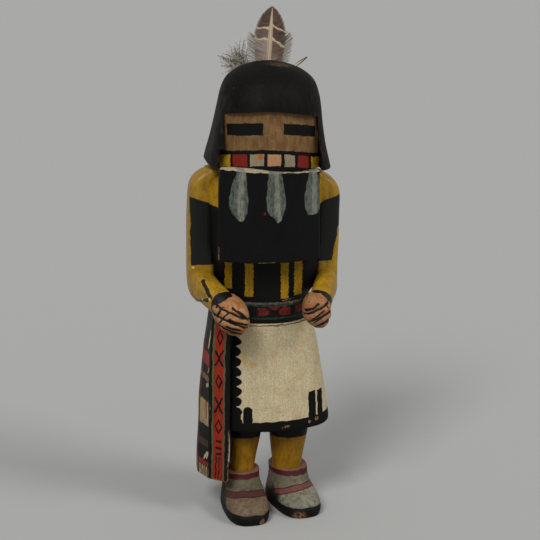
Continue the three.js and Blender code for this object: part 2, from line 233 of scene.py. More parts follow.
KILT = [
    (49, 0.2, 0.3, 33.8, 23.6, 2.15), (53, 0.3, 0.2, 33.9, 23.7, 2.15), (69, 0.3, 0, 31.3, 22.6, 2.15),
    (85, 0.2, -0.2, 28.9, 21.4, 2.1), (99, 0.2, -0.4, 26.3, 20.3, 2.1), (109, 0, -0.5, 22.4, 19.8, 2.1),
]
BELT = [
    (108.6, 0, -0.5, 22.2, 19.6, 2.1), (110, 0, -0.5, 23.1, 20.5, 2.1), (114.5, 0, -0.5, 23.2, 20.6, 2.1),
    (119, 0, -0.5, 23.1, 20.5, 2.1), (120.4, 0, -0.5, 22.2, 19.6, 2.1),
]
RIGHT_ARM = [
    (118.5, -33.8, -3.0, 3.8, 4.8, 3), (120.5, -34.5, -2.6, 5.6, 7.2, 3.4),
    (124.5, -35.3, -1.8, 6.8, 8.6, 4), (131, -35.6, -1.2, 7.0, 8.9, 4.4),
    (148, -35.4, -0.6, 7.1, 8.8, 4.6), (166, -34.9, 0, 7.2, 8.8, 4.6), (176, -34.3, 0, 7.3, 8.8, 4.2),
    (182.2, -33.2, 0, 7.3, 8.4, 3.4), (186.8, -30.4, 0, 6.8, 7.6, 3), (190, -26.2, 0, 5.0, 6.6, 2.6),
]
LEFT_ARM = [
    (117.2, 31.4, -3.4, 3.2, 4.5, 3), (119.2, 31.9, -3.0, 4.6, 6.8, 3.4),
    (123.4, 32.0, -2.2, 5.6, 8.4, 4), (131, 31.8, -1.4, 6.0, 8.8, 4.4), (148, 31.9, -0.6, 6.4, 8.8, 4.6),
    (164, 32.2, 0, 6.7, 8.8, 4.6), (174, 32.1, 0, 6.9, 8.8, 4.2), (179.5, 30.8, 0, 6.9, 8.4, 3.4),
    (183.5, 28.4, 0, 6.0, 7.6, 3), (186.5, 24.8, 0, 4.4, 6.6, 2.6),
]
RIGHT_FIST = [
    (107.8, -20.4, -32.0, 3.5, 4.4, 2.4), (110.0, -20.8, -32.6, 6.3, 6.9, 2.5),
    (113.8, -21.8, -33.0, 8.6, 8.6, 2.6), (118.2, -22.9, -32.8, 9.5, 8.8, 2.6),
    (122.4, -23.5, -31.6, 8.8, 8.2, 2.5), (125.6, -23.8, -30.0, 6.2, 6.3, 2.4),
    (127.5, -24.0, -29.0, 3.1, 3.5, 2.3),
]
LEFT_FIST = [
    (109.2, 24.2, -29.4, 2.6, 3.4, 2.4), (111.0, 23.6, -30.0, 4.8, 5.7, 2.5),
    (114.6, 22.7, -30.4, 7.0, 7.5, 2.6), (118.6, 22.5, -30.4, 7.5, 7.8, 2.6),
    (122.2, 22.6, -29.4, 7.0, 7.3, 2.5), (125.0, 22.2, -28.2, 4.9, 5.5, 2.4),
    (126.6, 22.0, -27.4, 2.6, 3.3, 2.3),
]
RIGHT_FOREARM = [
    (-36.4, 2, 131, 6.2, 7.2, 3), (-36.0, -6, 129.6, 6.2, 7.8, 3), (-32.4, -17, 126.8, 6.2, 7.4, 2.8),
    (-27.4, -27, 123.2, 6.2, 6.8, 2.6), (-25.0, -31, 121.4, 6.0, 6.6, 2.4),
]
LEFT_FOREARM = [
    (32.4, 2, 130, 5.4, 7.0, 3), (31.8, -6, 128.2, 5.6, 7.4, 3), (29.2, -15, 125.2, 6.0, 7.2, 2.8),
    (25.8, -23.5, 121.6, 6.2, 6.6, 2.6), (24.4, -27.5, 119.8, 6.0, 6.2, 2.4),
]
RIGHT_LEG = [
    (12, -14.0, -2.2, 6.6, 7.0, 2.2), (24, -13.8, -2.4, 6.9, 7.4, 2.2), (41, -12.1, -2.2, 8.4, 8.6, 2.2),
    (54, -11.9, -2.0, 9.4, 9.4, 2.2),
]
LEFT_LEG = [
    (12, 11.4, -1.4, 7.2, 7.0, 2.2), (24, 11.2, -1.8, 7.9, 7.6, 2.2), (43, 12.0, -2.6, 10.6, 9.4, 2.2),
    (54, 12.4, -2.2, 11.2, 10.2, 2.2),
]

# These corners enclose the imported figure, in parts; their middle goes to the middle of its box
DESIGN_LOW = np.array([-42.58, -41.60, 0])
DESIGN_HIGH = np.array([38.98, 28.54, CROWN_HEIGHT])
SHIFT = (figure_low + figure_high) / 2 - (DESIGN_LOW + DESIGN_HIGH) / 2 * PART
SHIFT[2] = figure_low[2]
print("the design's origin stands at", SHIFT.round(5))

# %% Shoes: one set of rows, as shares of the shoe's own width, length and height
SHOE_LENGTH, SHOE_WIDTH, SHOE_HEIGHT = 44, 23.8, 22.4
SOLE_LEVEL, SOLE_GROOVE, SOLE_GROOVE_HALF = 5.6, 0.35, 0.5
SHOE_MIDDLE = np.array([0, 3.0])
SHOE_SHARES = [
    (0, 0, 0, 0.93, 0.96, 2.9), (0.19, 0, 0, 1.0, 1.0, 2.9), (0.42, 0, 0.05, 0.95, 0.93, 2.7),
    (0.62, 0, 0.27, 0.88, 0.66, 2.3),
]
RIGHT_COLLAR, LEFT_COLLAR = (0.46, 0.44), (0.36, 0.55)
SHOE_SCALE = np.array([SHOE_HEIGHT, 1, SHOE_LENGTH / 2, SHOE_WIDTH / 2, SHOE_LENGTH / 2, 1])
RIGHT_SHOE_PLACE, RIGHT_SHOE_TURN = (-13.6, -12.9), math.radians(5)
LEFT_SHOE_PLACE, LEFT_SHOE_TURN = (14.0, -6.2), math.radians(14)


def shoe_shell(place, turn, collar):
    """The shoe's rows as a level shell with a shallow groove over the sole, turned about z and moved.

    The collar's two numbers say how far back its middle lies and how long it is, as shares of the shoe's
    half length.
    """
    back, length = collar
    rows = [*SHOE_SHARES, (0.8, 0, back - 0.04, 0.83, length + 0.06, 2.2), (1, 0, back, 0.86, length, 2.1)]
    grid = level_shell(np.array(rows) * SHOE_SCALE, 88, 46, edge=0.7)
    groove = SOLE_GROOVE * np.exp(-((grid[:, :, 2] - SOLE_LEVEL) / SOLE_GROOVE_HALF) ** 2)
    grid[:, :, :2] -= groove[:, :, None] * unit(grid[:, :, :2] - SHOE_MIDDLE)
    x, y = grid[:, :, 0].copy(), grid[:, :, 1].copy()
    grid[:, :, 0] = place[0] + x * math.cos(turn) - y * math.sin(turn)
    grid[:, :, 1] = place[1] + x * math.sin(turn) + y * math.cos(turn)
    return grid


print("shoe:", shoe_shell(RIGHT_SHOE_PLACE, RIGHT_SHOE_TURN, RIGHT_COLLAR).shape[:2], "rings and points")


# %% Fists: cuts between the fingers, slanting down across the front
FINGER_STEP, FINGER_GROOVE, FINGER_GROOVE_HALF = 4.4, 0.9, 0.75
# For each fist, x and z of the middle of its cuts, and their slant in radians
RIGHT_CUTS, LEFT_CUTS = (-21.5, 115, 0.42), (22.8, 115.6, -0.42)


def fist_shell(rows, x0, z0, slant, fingers=4):
    """A level shell whose front is pushed in along slanting lines; between them the fingers stay round."""
    grid = level_shell(rows, 84, 54, edge=0.6)
    across = (grid[:, :, 2] - z0 + math.tan(slant) * (grid[:, :, 0] - x0)) * math.cos(slant)
    which = np.clip(np.round(across / FINGER_STEP), 1 - fingers / 2, fingers / 2 - 1)
    off = across - which * FINGER_STEP
    middle = grid.mean(axis=1, keepdims=True)
    front = np.clip((middle[:, :, 1] + 1 - grid[:, :, 1]) / 5, 0, 1)
    depth = FINGER_GROOVE * np.exp(-(off / FINGER_GROOVE_HALF) ** 2) * front
    out = grid - middle
    out[:, :, 2] = 0
    return grid - depth[:, :, None] * out / np.maximum(np.linalg.norm(out, axis=2, keepdims=True), 1e-6)


print("right fist:", fist_shell(RIGHT_FIST, *RIGHT_CUTS).shape[:2], "rings and points")


# %% Beard board: a bowed front, a flat back and softened edges
BEARD_LEVELS, BEARD_HALF_WIDTHS, BEARD_CENTRES = (145, 192.6), (26.9, 25.9), (-2.0, -1.3)
BEARD_FRONT, BEARD_BOW, BEARD_BACK = -34.2, 8.2, -20.2


def soften_corners(outline, count, radius):
    """The outline at even steps of its length, each point averaged over a stretch as long as radius."""
    closed = np.concatenate([outline, outline[:1]])
    run = np.concatenate([[0], np.cumsum(np.linalg.norm(np.diff(closed, axis=0), axis=1))])
    steps = np.linspace(0, run[-1], count, endpoint=False)
    even = np.column_stack([np.interp(steps, run, column) for column in closed.T])
    reach = max(1, round(radius / (run[-1] / count) / 2))
    return np.mean([np.roll(even, k, axis=0) for k in range(-reach, reach + 1)], axis=0)


def beard_shell(around=180, up=40):
    """At each level the front is y = front + bow u^2; half width and centre change evenly with the level."""
    u = np.linspace(-1, 1, 81)
    rings = []
    for share in np.linspace(0, 1, up):
        level, half, centre = (pair[0] + share * (pair[1] - pair[0])
                               for pair in (BEARD_LEVELS, BEARD_HALF_WIDTHS, BEARD_CENTRES))
        front = np.column_stack([u * half, BEARD_FRONT + BEARD_BOW * u**2])
        corners = [(half, BEARD_BACK), (-half, BEARD_BACK)]
        outline = soften_corners(np.concatenate([front, corners]), around, 1.6)
        lean = HEAD_TILT * share
        rings.append(np.column_stack([centre + outline[:, 0], outline[:, 1], level - lean * outline[:, 0]]))
    return outline_shell(np.array(rings), edge=0.6)


print("beard:", beard_shell().shape[:2], "rings and points")


# %% Sash: a faceted panel down the right hip that hangs below the hem
SASH = [
    (21, (-23.5, -22.4), (-25, -6), (-26, 9), (-37.9, 8.4), (-38.6, -2.6), (-33.4, -15.6)),
    (61, (-22.6, -22.6), (-21, -6), (-22, 9), (-36.2, 8.4), (-37.0, -1.6), (-33.0, -16.4)),
    (92, (-22.4, -21.2), (-18, -6), (-18, 8), (-33.1, 8.2), (-33.9, -1.0), (-32.2, -16.6)),
    (116, (-21.0, -20.0), (-14, -6), (-14, 7), (-29.6, 7.4), (-30.4, -0.6), (-30.4, -15.6)),
]


def sash_shell(around=150, up=56):
    """Corners run straight between the given levels; each level's outline is softened a little."""
    levels = np.array([row[0] for row in SASH], float)
    corners = np.array([row[1:] for row in SASH], float)
    rings = []
    for level in np.linspace(levels[0], levels[-1], up):
        at = np.array([[np.interp(level, levels, corners[:, k, axis]) for axis in (0, 1)] for k in range(6)])
        outline = soften_corners(at, around, 1.4)
        rings.append(np.column_stack([outline, np.full(around, level)]))
    return outline_shell(np.array(rings), edge=0.6)


print("sash:", sash_shell().shape[:2], "rings and points")


# %% The face is cut back under the fringe, to a smaller cylinder
FACE_RADIUS, FACE_AXIS_Y, FACE_FOOT, OPEN_AIR = 30.5, 1.6, 187, 46
HEAD_MIDDLE_X, HEAD_MIDDLE_Z = 0.2, 188
WINDOW = [
    (186, -27.2, 26.2), (201, -26.8, 25.9), (203, -25.0, 24.9), (213, -24.5, 24.4), (221, -24.0, 24.2),
    (228, -23.8, 24.0),
]
FRINGE_LEVEL, FRINGE_ARCH = 220.0, 3.2


def face_cut(across=64, up=24):
    """The space in front of the face, whose inner side is y = axis - sqrt(radius^2 - x^2).

    Its top arches as level + arch (1 - u^2) for u from -1 to 1, and all of it leans with the head.
    """
    levels, left, right = np.array(WINDOW).T
    u = np.linspace(-1, 1, across)
    rings = []
    for share in np.linspace(0, 1, up):
        top = FRINGE_LEVEL + FRINGE_ARCH * (1 - u**2)
        z = FACE_FOOT + share * (top - FACE_FOOT)
        centre = HEAD_MIDDLE_X + (z - HEAD_MIDDLE_Z) * HEAD_TILT
        x = (1 - u) / 2 * np.interp(z, levels, left) + (1 + u) / 2 * np.interp(z, levels, right) - centre
        inner = FACE_AXIS_Y - np.sqrt(FACE_RADIUS**2 - x**2)
        wall = np.column_stack([centre + x, inner, z - HEAD_TILT * x])
        open_air = wall + np.array([[0, -1, 0]]) * (inner + OPEN_AIR)[:, None]
        rings.append(np.concatenate([open_air, wall[::-1]]))
    ends = [ring + 0.485 * (ring[::-1] - ring) for ring in (rings[0], rings[-1])]
    return np.array([ends[0], *rings, ends[1]])


print("cut for the face:", face_cut().shape[:2], "rings and points")


# %% [markdown]
# ## Paint
#
# The paints are mineral colours in thin size: matt, a little uneven, and thin enough that the grain of
# the cottonwood shows through. Each painted mark is a mask that is 1 inside the mark and 0 outside, worked
# out from Object coordinates in parts of the figure, so a mark stays where it is on every side of the form.
# Before the masks are worked out, a noise pushes the coordinates about by a few tenths of a part, which
# gives every edge the waver of a brush held in the hand. An image texture could hold the same marks, but
# it would blur close up.

# %% Colours and nodes
def linear(colour):
    """sRGB hex to linear light: c / 12.92 up to 0.04045, and ((c + 0.055) / 1.055)^2.4 above it."""
    value = np.array([int(colour[k:k + 2], 16) for k in (1, 3, 5)]) / 255
    return (*np.where(value <= 0.04045, value / 12.92, ((value + 0.055) / 1.055) ** 2.4).tolist(), 1.0)


def add(tree, kind, *inputs, **settings):
    """Adds a shader node: inputs fill its sockets in order, a name with a capital is a socket's own."""
    node = tree.nodes.new("ShaderNode" + kind)
    for name, value in settings.items():
        if name[0].islower():
            setattr(node, name, value)
    pairs = list(zip([socket for socket in node.inputs if socket.enabled], inputs))
    pairs += [(node.inputs[name.replace("_", " ")], value)
              for name, value in settings.items() if name[0].isupper()]
    for socket, value in pairs:
        if isinstance(value, bpy.types.Node):
            value = next(output for output in value.outputs if output.enabled)
        if isinstance(value, bpy.types.NodeSocket):
            tree.links.new(value, socket)
        else:
            socket.default_value = value
    return node


def calc(tree, operation, *values):
    """A sum on numbers; MULTIPLY_ADD is a b + c."""
    return add(tree, "Math", *values, operation=operation)


def vector(tree, operation, *values):
    """The same on vectors."""
    return add(tree, "VectorMath", *values, operation=operation)


def ramp(tree, value, low, high, least=0, most=1):
    """A straight line from least, where value is low, to most, where it is high, and level outside."""
    return add(tree, "MapRange", value, low, high, least, most)


def slant(tree, place, *weights):
    """Slanting levels: the sum of x, y and z, each times its weight."""
    return vector(tree, "DOT_PRODUCT", place, weights)


# %% Masks: where a mark lies
def under(tree, value, limit, soft):
    """1 where value is under limit, 0 over it, with a smooth step as wide as soft."""
    return add(tree, "MapRange", value, limit + soft / 2, limit - soft / 2, interpolation_type="SMOOTHSTEP")


def over(tree, value, limit, soft):
    """1 where value is over limit: the same step the other way round."""
    return under(tree, value, limit, -soft)


def between(tree, value, low, high, soft=0.25):
    """1 where low < value < high: the distance from the middle against half the width."""
    off = calc(tree, "ABSOLUTE", calc(tree, "SUBTRACT", value, (low + high) / 2))
    return under(tree, off, (high - low) / 2, soft)


def fold(tree, operation, masks):
    """The operation on the first two masks, then on the result and the third, and so on."""
    whole, *others = masks
    for mask in others:
        whole = calc(tree, operation, whole, mask)
    return whole


def all_of(tree, *masks):
    """The product, which is 1 where every mask is."""
    return fold(tree, "MULTIPLY", masks)


def any_of(tree, *masks):
    """The largest, which is 1 where one of the masks is."""
    return fold(tree, "MAXIMUM", masks)


# %% Marks: rectangles, strokes and spots
FRONT_HALF = 2


def rectangle(tree, place, left, low, right, high):
    """Front view rectangle: x and z between the corners, on the front half of the figure."""
    x, y, z = add(tree, "SeparateXYZ", place).outputs
    front = under(tree, y, FRONT_HALF, 2)
    return all_of(tree, between(tree, x, left, right), between(tree, z, low, high), front)


def stroke(tree, place, start, end, width, soft=0.35):
    """Within width / 2 of a segment: its nearest point is start + clamp(dot(p - start, run) / run^2) run."""
    start = np.array(start, float)
    run = np.array(end, float) - start
    away = vector(tree, "SUBTRACT", place, start.tolist())
    share = add(tree, "Clamp", slant(tree, away, *(run / (run @ run)).tolist()))
    near = vector(tree, "SCALE", run.tolist(), share)
    return under(tree, vector(tree, "DISTANCE", away, near), width / 2, soft)


def spot(tree, place, centre, radii, soft=0.3):
    """Inside an ellipsoid: the length of (p - centre) / radii against 1."""
    away = vector(tree, "DIVIDE", vector(tree, "SUBTRACT", place, centre), radii)
    return under(tree, vector(tree, "LENGTH", away), 1, soft)


def drawn(tree, place, mark, rows):
    """All marks of one kind, such as stroke: a row holds what its function takes."""
    return any_of(tree, *[mark(tree, place, *row) for row in rows])


# %% Noises and coats
def noise(tree, place, size, detail=2.0, rough=0.5, stretch=(1, 1, 1), shift=0.0):
    """Noise from 0 to 1 with blobs about size parts wide, made longer along an axis by stretch."""
    scale = [1 / (size * factor) for factor in stretch]
    moved = add(tree, "Mapping", place, Location=(shift, shift * 0.7, shift * 1.3), Scale=scale)
    return add(tree, "TexNoise", moved, Scale=1, Detail=detail, Roughness=rough)


def pushed(tree, place, scale, detail, reach):
    """The place moved about by a noise, as far along each axis as reach says."""
    push = add(tree, "TexNoise", place, Scale=scale, Detail=detail).outputs["Color"]
    push = vector(tree, "SUBTRACT", push, (0.5, 0.5, 0.5))
    return vector(tree, "MULTIPLY_ADD", push, reach, place)


def coats(tree, ground, *layers):
    """Paint laid on paint, the last layer on top: a layer is a mask and a colour.

    It can also be a value, two levels of it, a share and a colour: the paint's share then rises from 0 at
    the first level to that share at the second.
    """
    ground = linear(ground) if isinstance(ground, str) else ground
    for value, *ends, colour in layers:
        mask = ramp(tree, value, *ends[:2], 0, ends[2]) if ends else value
        colour = linear(colour) if isinstance(colour, str) else colour
        ground = add(tree, "Mix", mask, ground, colour, data_type="RGBA")
    return ground


# %% How every paint starts and ends
BARE_WOOD = "#7f5c3c"
FIBRE = 14
PAINT = {}


def new_material(name):
    """An empty material and its node tree."""
    material = bpy.data.materials.new(name)
    material.use_nodes = True
    material.node_tree.nodes.clear()
    return material, material.node_tree


def start_paint(name):
    """A new material with two places in parts of the figure: the true one, and one that wavers."""
    material, tree = new_material(name)
    coordinates = add(tree, "TexCoord").outputs["Object"]
    place = add(tree, "Mapping", coordinates, Location=(-SHIFT / PART).tolist(), Scale=[1 / PART] * 3)
    return material, tree, place, pushed(tree, place, 0.3, 1, (1.3, 1.3, 1.3))


def finish_paint(material, place, colour, roughness, grain=0.35, relief=0.5, mottle=0.16, wear=None,
                 specular=0.13):
    """Grain, uneven tone, wear and gloss, the same way for every paint.

    Grain is a noise about 1 part wide and 14 long, drawn coarser than the real 0.3 mm fibres so that it
    shows. It darkens the colour a little and lifts the surface by up to a fifth of a part.
    """
    tree = material.node_tree
    fibre = noise(tree, place, 1.1, 3, 0.6, (1, 1, FIBRE))
    patchy = noise(tree, place, 9, 3, 0.6)
    fine = noise(tree, place, 0.7, 2, 0.7, (1, 1, 2), shift=7)
    shade = all_of(tree, ramp(tree, fibre, 0.3, 0.7, 1 - grain, 1),
                   ramp(tree, patchy, 0.3, 0.7, 1 - mottle, 1 + mottle),
                   ramp(tree, fine, 0.35, 0.65, 0.94, 1.05))
    colour = vector(tree, "SCALE", colour, shade)
    if wear is not None:
        ragged = ramp(tree, noise(tree, place, 0.9, 3, 0.7, (1, 1, 2), shift=3), 0.4, 0.5, 0, 0.88)
        colour = coats(tree, colour, (all_of(tree, wear, ragged), BARE_WOOD))
    height = calc(tree, "MULTIPLY_ADD", fine, 0.5, fibre)
    bump = add(tree, "Bump", Strength=relief, Distance=0.2 * PART, Height=height)
    gloss = ramp(tree, patchy, 0.3, 0.7, roughness - 0.07, roughness + 0.07)
    shader = add(tree, "BsdfPrincipled", Base_Color=colour, Roughness=gloss, Normal=bump,
                 Specular_IOR_Level=specular)
    add(tree, "OutputMaterial", shader)
    return material


def keep_paint(name, material):
    """Keeps a paint for the forms of this name and prints its size."""
    PAINT[name] = material
    print(name, "paint:", len(material.node_tree.nodes), "nodes")


# %% [markdown]
# ### Hair and beard
#
# The helmet of hair and the beard board are soot black in size, the deepest and flattest of the paints.
# Brown wood grins through where the brush ran dry down the sides, and the crown is rubbed bare in front of
# the feathers.

# %% Hair: soot black
def hair_paint():
    """Vertical streaks of brown wood on the sides, and a rubbed patch in front of the feathers."""
    material, tree, place, wavered = start_paint("soot_black_on_cottonwood")
    x = add(tree, "SeparateXYZ", place).outputs[0]
    streak = noise(tree, place, 1.3, 3, 0.6, (1, 1, 22), shift=2)
    sides = ramp(tree, calc(tree, "ABSOLUTE", x), 17, 26, 0.12, 0.95)
    dry = all_of(tree, ramp(tree, streak, 0.48, 0.66), sides)
    scuff = noise(tree, place, 2.2, 4, 0.7, shift=5)
    fleck = spot(tree, wavered, (-26.2, -17, 203.2), (0.9, 4, 1.2))
    chip = stroke(tree, wavered, (-22.2, -16.5, 232.3), (-19.2, -17.0, 234.2), 1.1)
    rubbed = ramp(tree, noise(tree, place, 1.3, 4, 0.75, (1, 1, 2), shift=9), 0.42, 0.56, 0, 0.8)
    crown = spot(tree, wavered, (5.4, -6.2, 243.8), (6.0, 4.6, 2.6), 0.9)
    colour = coats(tree, "#070706", (dry, "#34291c"), (scuff, 0.62, 0.72, 0.5, "#181614"),
                   (fleck, "#8f7c1c"), (chip, "#5f431f"), (all_of(tree, crown, rubbed), "#5c4d38"))
    return finish_paint(material, place, colour, 0.62, mottle=0.2, specular=0.1)


keep_paint("hair", hair_paint())


# %% Beard: soot black with three feathers in grey
BEARD_FEATHERS = [
    [(192.8, -18.9, -14.9), (188, -20.8, -14.5), (182, -22.4, -14.0), (177, -22.9, -13.7),
     (172.5, -22.2, -14.2), (169.5, -20.4, -15.3), (167.2, -18.0, -16.6)],
    [(192.5, -3.0, 3.45), (182, -4.2, 5.0), (177, -4.5, 5.6), (171.5, -3.3, 4.7), (168, 0.4, 3.45),
     (166.4, 1.3, 1.9)],
    [(192.3, 18.7, 22.6), (182, 16.4, 24.9), (174, 16.1, 24.9), (171, 17.0, 24.2), (169, 18.0, 22.9)],
]
BEARD_EDGES_WORN = [
    ((-28.6, -26.4, 146.4), (-28.7, -26.2, 152.0), 1.4), ((-8, -34, 145.2), (0, -34.5, 145.2), 0.8),
]
CURVE_SPAN = 64


def painted_feather(tree, place, rows):
    """Inside a hand-drawn outline: rows are level, left x and right x, with a smooth curve down each side."""
    x, _, z = add(tree, "SeparateXYZ", place).outputs
    levels, *sides = np.array(rows).T
    share = (levels[0] - levels) / (levels[0] - levels[-1])
    t = ramp(tree, z, levels[0], levels[-1])
    edges = []
    for side in sides:
        curve = add(tree, "FloatCurve", 1.0, t)
        points = curve.mapping.curves[0].points
        height = side / CURVE_SPAN + 0.5
        for at, value in zip(share[1:-1], height[1:-1]):
            points.new(at, value)
        points[0].location = (0, height[0])
        points[-1].location = (1, height[-1])
        curve.mapping.update()
        edges.append(calc(tree, "MULTIPLY_ADD", curve, CURVE_SPAN, -CURVE_SPAN / 2))
    left, right = edges
    mask = all_of(tree, under(tree, calc(tree, "SUBTRACT", left, x), 0, 0.5),
                  under(tree, calc(tree, "SUBTRACT", x, right), 0, 0.5), over(tree, z, levels[-1], 0.5))
    middle = calc(tree, "MULTIPLY", calc(tree, "ADD", left, right), 0.5)
    return mask, calc(tree, "SUBTRACT", x, middle)


def beard_paint():
    """The top ledge carries a cream line; each feather is streaked down its length, lighter at its shaft."""
    material, tree, place, wavered = start_paint("soot_black_beard")
    ledge = over(tree, slant(tree, wavered, HEAD_TILT, 0, 1), 192.3, 0.2)
    scuff = noise(tree, place, 1.2, 4, 0.75, (1, 1, 1.6), shift=5)
    colour = coats(tree, "#070707", (scuff, 0.64, 0.72, 0.6, "#201f1d"), (ledge, "#a89c80"))
    thin = ramp(tree, noise(tree, place, 1.0, 4, 0.75, (1, 1, 3)), 0.38, 0.56, 0.35, 0.97)
    for rows in BEARD_FEATHERS:
        mask, off = painted_feather(tree, wavered, rows)
        pale = all_of(tree, mask, between(tree, off, -0.6, 2.2, 1.2), thin)
        colour = coats(tree, colour, (all_of(tree, mask, thin), "#5d635a"), (pale, "#7c7e70"))
    colour = coats(tree, colour, (spot(tree, wavered, (-5.2, -34, 171.5), (0.6, 3, 0.9)), "#5e1a18"))
    wear = drawn(tree, wavered, stroke, BEARD_EDGES_WORN)
    return finish_paint(material, place, colour, 0.58, wear=wear, grain=0.25)


keep_paint("beard", beard_paint())


# %% Face: a brown wash with black eyes and a band of squares
FACE_BOW = 0.0048
EYES = [(-22.6, 211.0, -5.2, 217.1), (5.2, 211.6, 22.8, 217.4)]
SQUARES_LOW, SQUARES_HIGH = 195.0, 201.2
SQUARES = [
    (-26.6, -21.4, "#ad8716"), (-20.2, -13.3, "#7c2018"), (-11.9, -4.9, "#8f8268"), (-3.2, 3.8, "#aa7e5a"),
    (5.8, 11.4, "#8a7f68"), (13.0, 19.2, "#7c1f18"), (20.6, 25.6, "#ad8716"),
]


def face_paint():
    """Marks are placed by their level over the bowed lower edge: z + tilt x + bow x^2."""
    material, tree, place, wavered = start_paint("brown_wash_face")
    x, y, z = add(tree, "SeparateXYZ", wavered).outputs
    level = calc(tree, "MULTIPLY_ADD", calc(tree, "MULTIPLY_ADD", x, FACE_BOW, HEAD_TILT), x, z)
    flat = add(tree, "CombineXYZ", x, y, level)
    wash = noise(tree, place, 2.2, 4, 0.65, (1, 1, 2.5), shift=4)
    walls = any_of(tree, under(tree, slant(tree, wavered, 1, 0, -0.061), -37.15, 0.3),
                   under(tree, slant(tree, wavered, -1, 0, -0.039), -32.45, 0.3))
    squares = [(rectangle(tree, flat, left, SQUARES_LOW, right, SQUARES_HIGH), paint)
               for left, right, paint in SQUARES]
    blot = spot(tree, wavered, (-6.6, -28.5, 199.8), (1.6, 3, 1.5), 0.6)
    # The darker brown at the top of the face, from level 220.5 up to the fringe, is painted shadow of the
    # fringe's edge.
    colour = coats(tree, "#7c5e3b", (wash, 0.4, 0.62, 0.8, "#5e4428"), (level, 220.5, 223.4, 0.6, "#5c4632"),
                   (walls, "#0b0a0a"), (drawn(tree, flat, rectangle, EYES), "#0a0a09"),
                   (under(tree, level, 203.2, 0.3), "#0b0a0a"), *squares, (blot, "#a5622f"))
    return finish_paint(material, place, colour, 0.68, grain=0.22, mottle=0.1)


keep_paint("face", face_paint())


# %% [markdown]
# ### Body
#
# Shoulders and forearms are yellow ochre, a slightly glossier paint than the black, and the arms' outer
# edges stay yellow where the black of the upper arm stops at the corner. The chest is black with four
# ragged yellow stripes.

# %% Yellow ochre on the chest and arms
CHEST_STRIPES = [(-23.8, 127, -20.4, 150), (-13.7, 123.2, -9.4, 150), (5.2, 121.9, 9.3, 150),
                 (12.5, 123, 17.0, 150)]
WRIST_DASHES = [
    ((-36.2, -19.5, 133.2), (-34.8, -25.5, 130.2), 2.3), ((-34.8, -25.5, 130.2), (-33.0, -29.3, 126.6), 2.4),
    ((-38.4, -12.0, 121.0), (-34.2, -27.5, 125.0), 2.2),
]
# Pale yellow dots on the right forearm: partly pale paint spots, partly painted highlights of the glossy
# ochre
WRIST_DOTS_AND_HIGHLIGHTS = [((-36.6, -22.0, 124.0), [0.75] * 3), ((-33.4, -28.9, 125.6), [0.95] * 3),
              ((-40.1, -9.6, 137.9), [0.7] * 3), ((-38.9, -12.0, 129.6), [0.8] * 3)]


def ochre(tree, place):
    """Yellow ochre: browner where it is thin over the wood, greener where it ran into black."""
    thin = noise(tree, place, 3.2, 4, 0.7, (1, 1, 1.5), shift=1)
    green = noise(tree, place, 6, 3, 0.7, shift=9)
    return coats(tree, "#9f7913", (thin, 0.46, 0.68, 0.85, "#7f5a12"), (green, 0.58, 0.72, 0.5, "#7c7a1c"))


def shoulder(tree, place, soft):
    """Over two slanting planes: z - 0.35 |x| is over 161.4."""
    return over(tree, slant(tree, vector(tree, "ABSOLUTE", place), -0.35, 0, 1), 161.4, soft)


def chest_paint():
    """Black, with four stripes that show under the beard, and yellow over the shoulders."""
    material, tree, place, wavered = start_paint("black_and_ochre_chest")
    ragged = pushed(tree, place, 0.9, 3, (2.2, 2.2, 1.0))
    yellow = any_of(tree, drawn(tree, ragged, rectangle, CHEST_STRIPES), shoulder(tree, wavered, 0.4))
    colour = coats(tree, "#0a0a09", (yellow, ochre(tree, place)))
    rub = stroke(tree, wavered, (6, -20, 120.9), (17, -16, 121.8), 0.9)
    return finish_paint(material, place, colour, 0.55, wear=rub, grain=0.25)


def arm_paint():
    """Yellow above a slanting line at the shoulder, on the outer edge and below the elbow; black between."""
    material, tree, place, wavered = start_paint("black_and_ochre_arms")
    x, y, z = add(tree, "SeparateXYZ", wavered).outputs
    left_edge = under(tree, slant(tree, wavered, -1, 0, 0.19), -7.58, 0.5)
    left_edge = all_of(tree, left_edge, under(tree, z, 158, 1))
    yellow = any_of(tree, shoulder(tree, wavered, 0.5), under(tree, z, 139.2, 0.4),
                    under(tree, x, -41.3, 0.5), left_edge)
    mirrored = add(tree, "CombineXYZ", calc(tree, "ABSOLUTE", x), y, z)
    reach = slant(tree, mirrored, 0.4, 0.86, 0.33)
    left_wrist = all_of(tree, under(tree, reach, 29.8, 0.4), over(tree, x, 0, 1))
    black = any_of(tree, under(tree, reach, 28.0, 0.4), left_wrist,
                   drawn(tree, wavered, stroke, WRIST_DASHES))
    # The pale dots are partly paint spots and partly painted highlights.
    colour = coats(tree, "#0a0a09", (yellow, ochre(tree, place)), (black, "#0d0c0b"),
                   (drawn(tree, place, spot, WRIST_DOTS_AND_HIGHLIGHTS), "#c9b04a"))
    rub = stroke(tree, wavered, (-41.6, -7, 126), (-40.2, -9, 119), 0.9)
    return finish_paint(material, place, colour, 0.42, wear=rub, grain=0.2, specular=0.3)


keep_paint("chest", chest_paint())
keep_paint("arms", arm_paint())


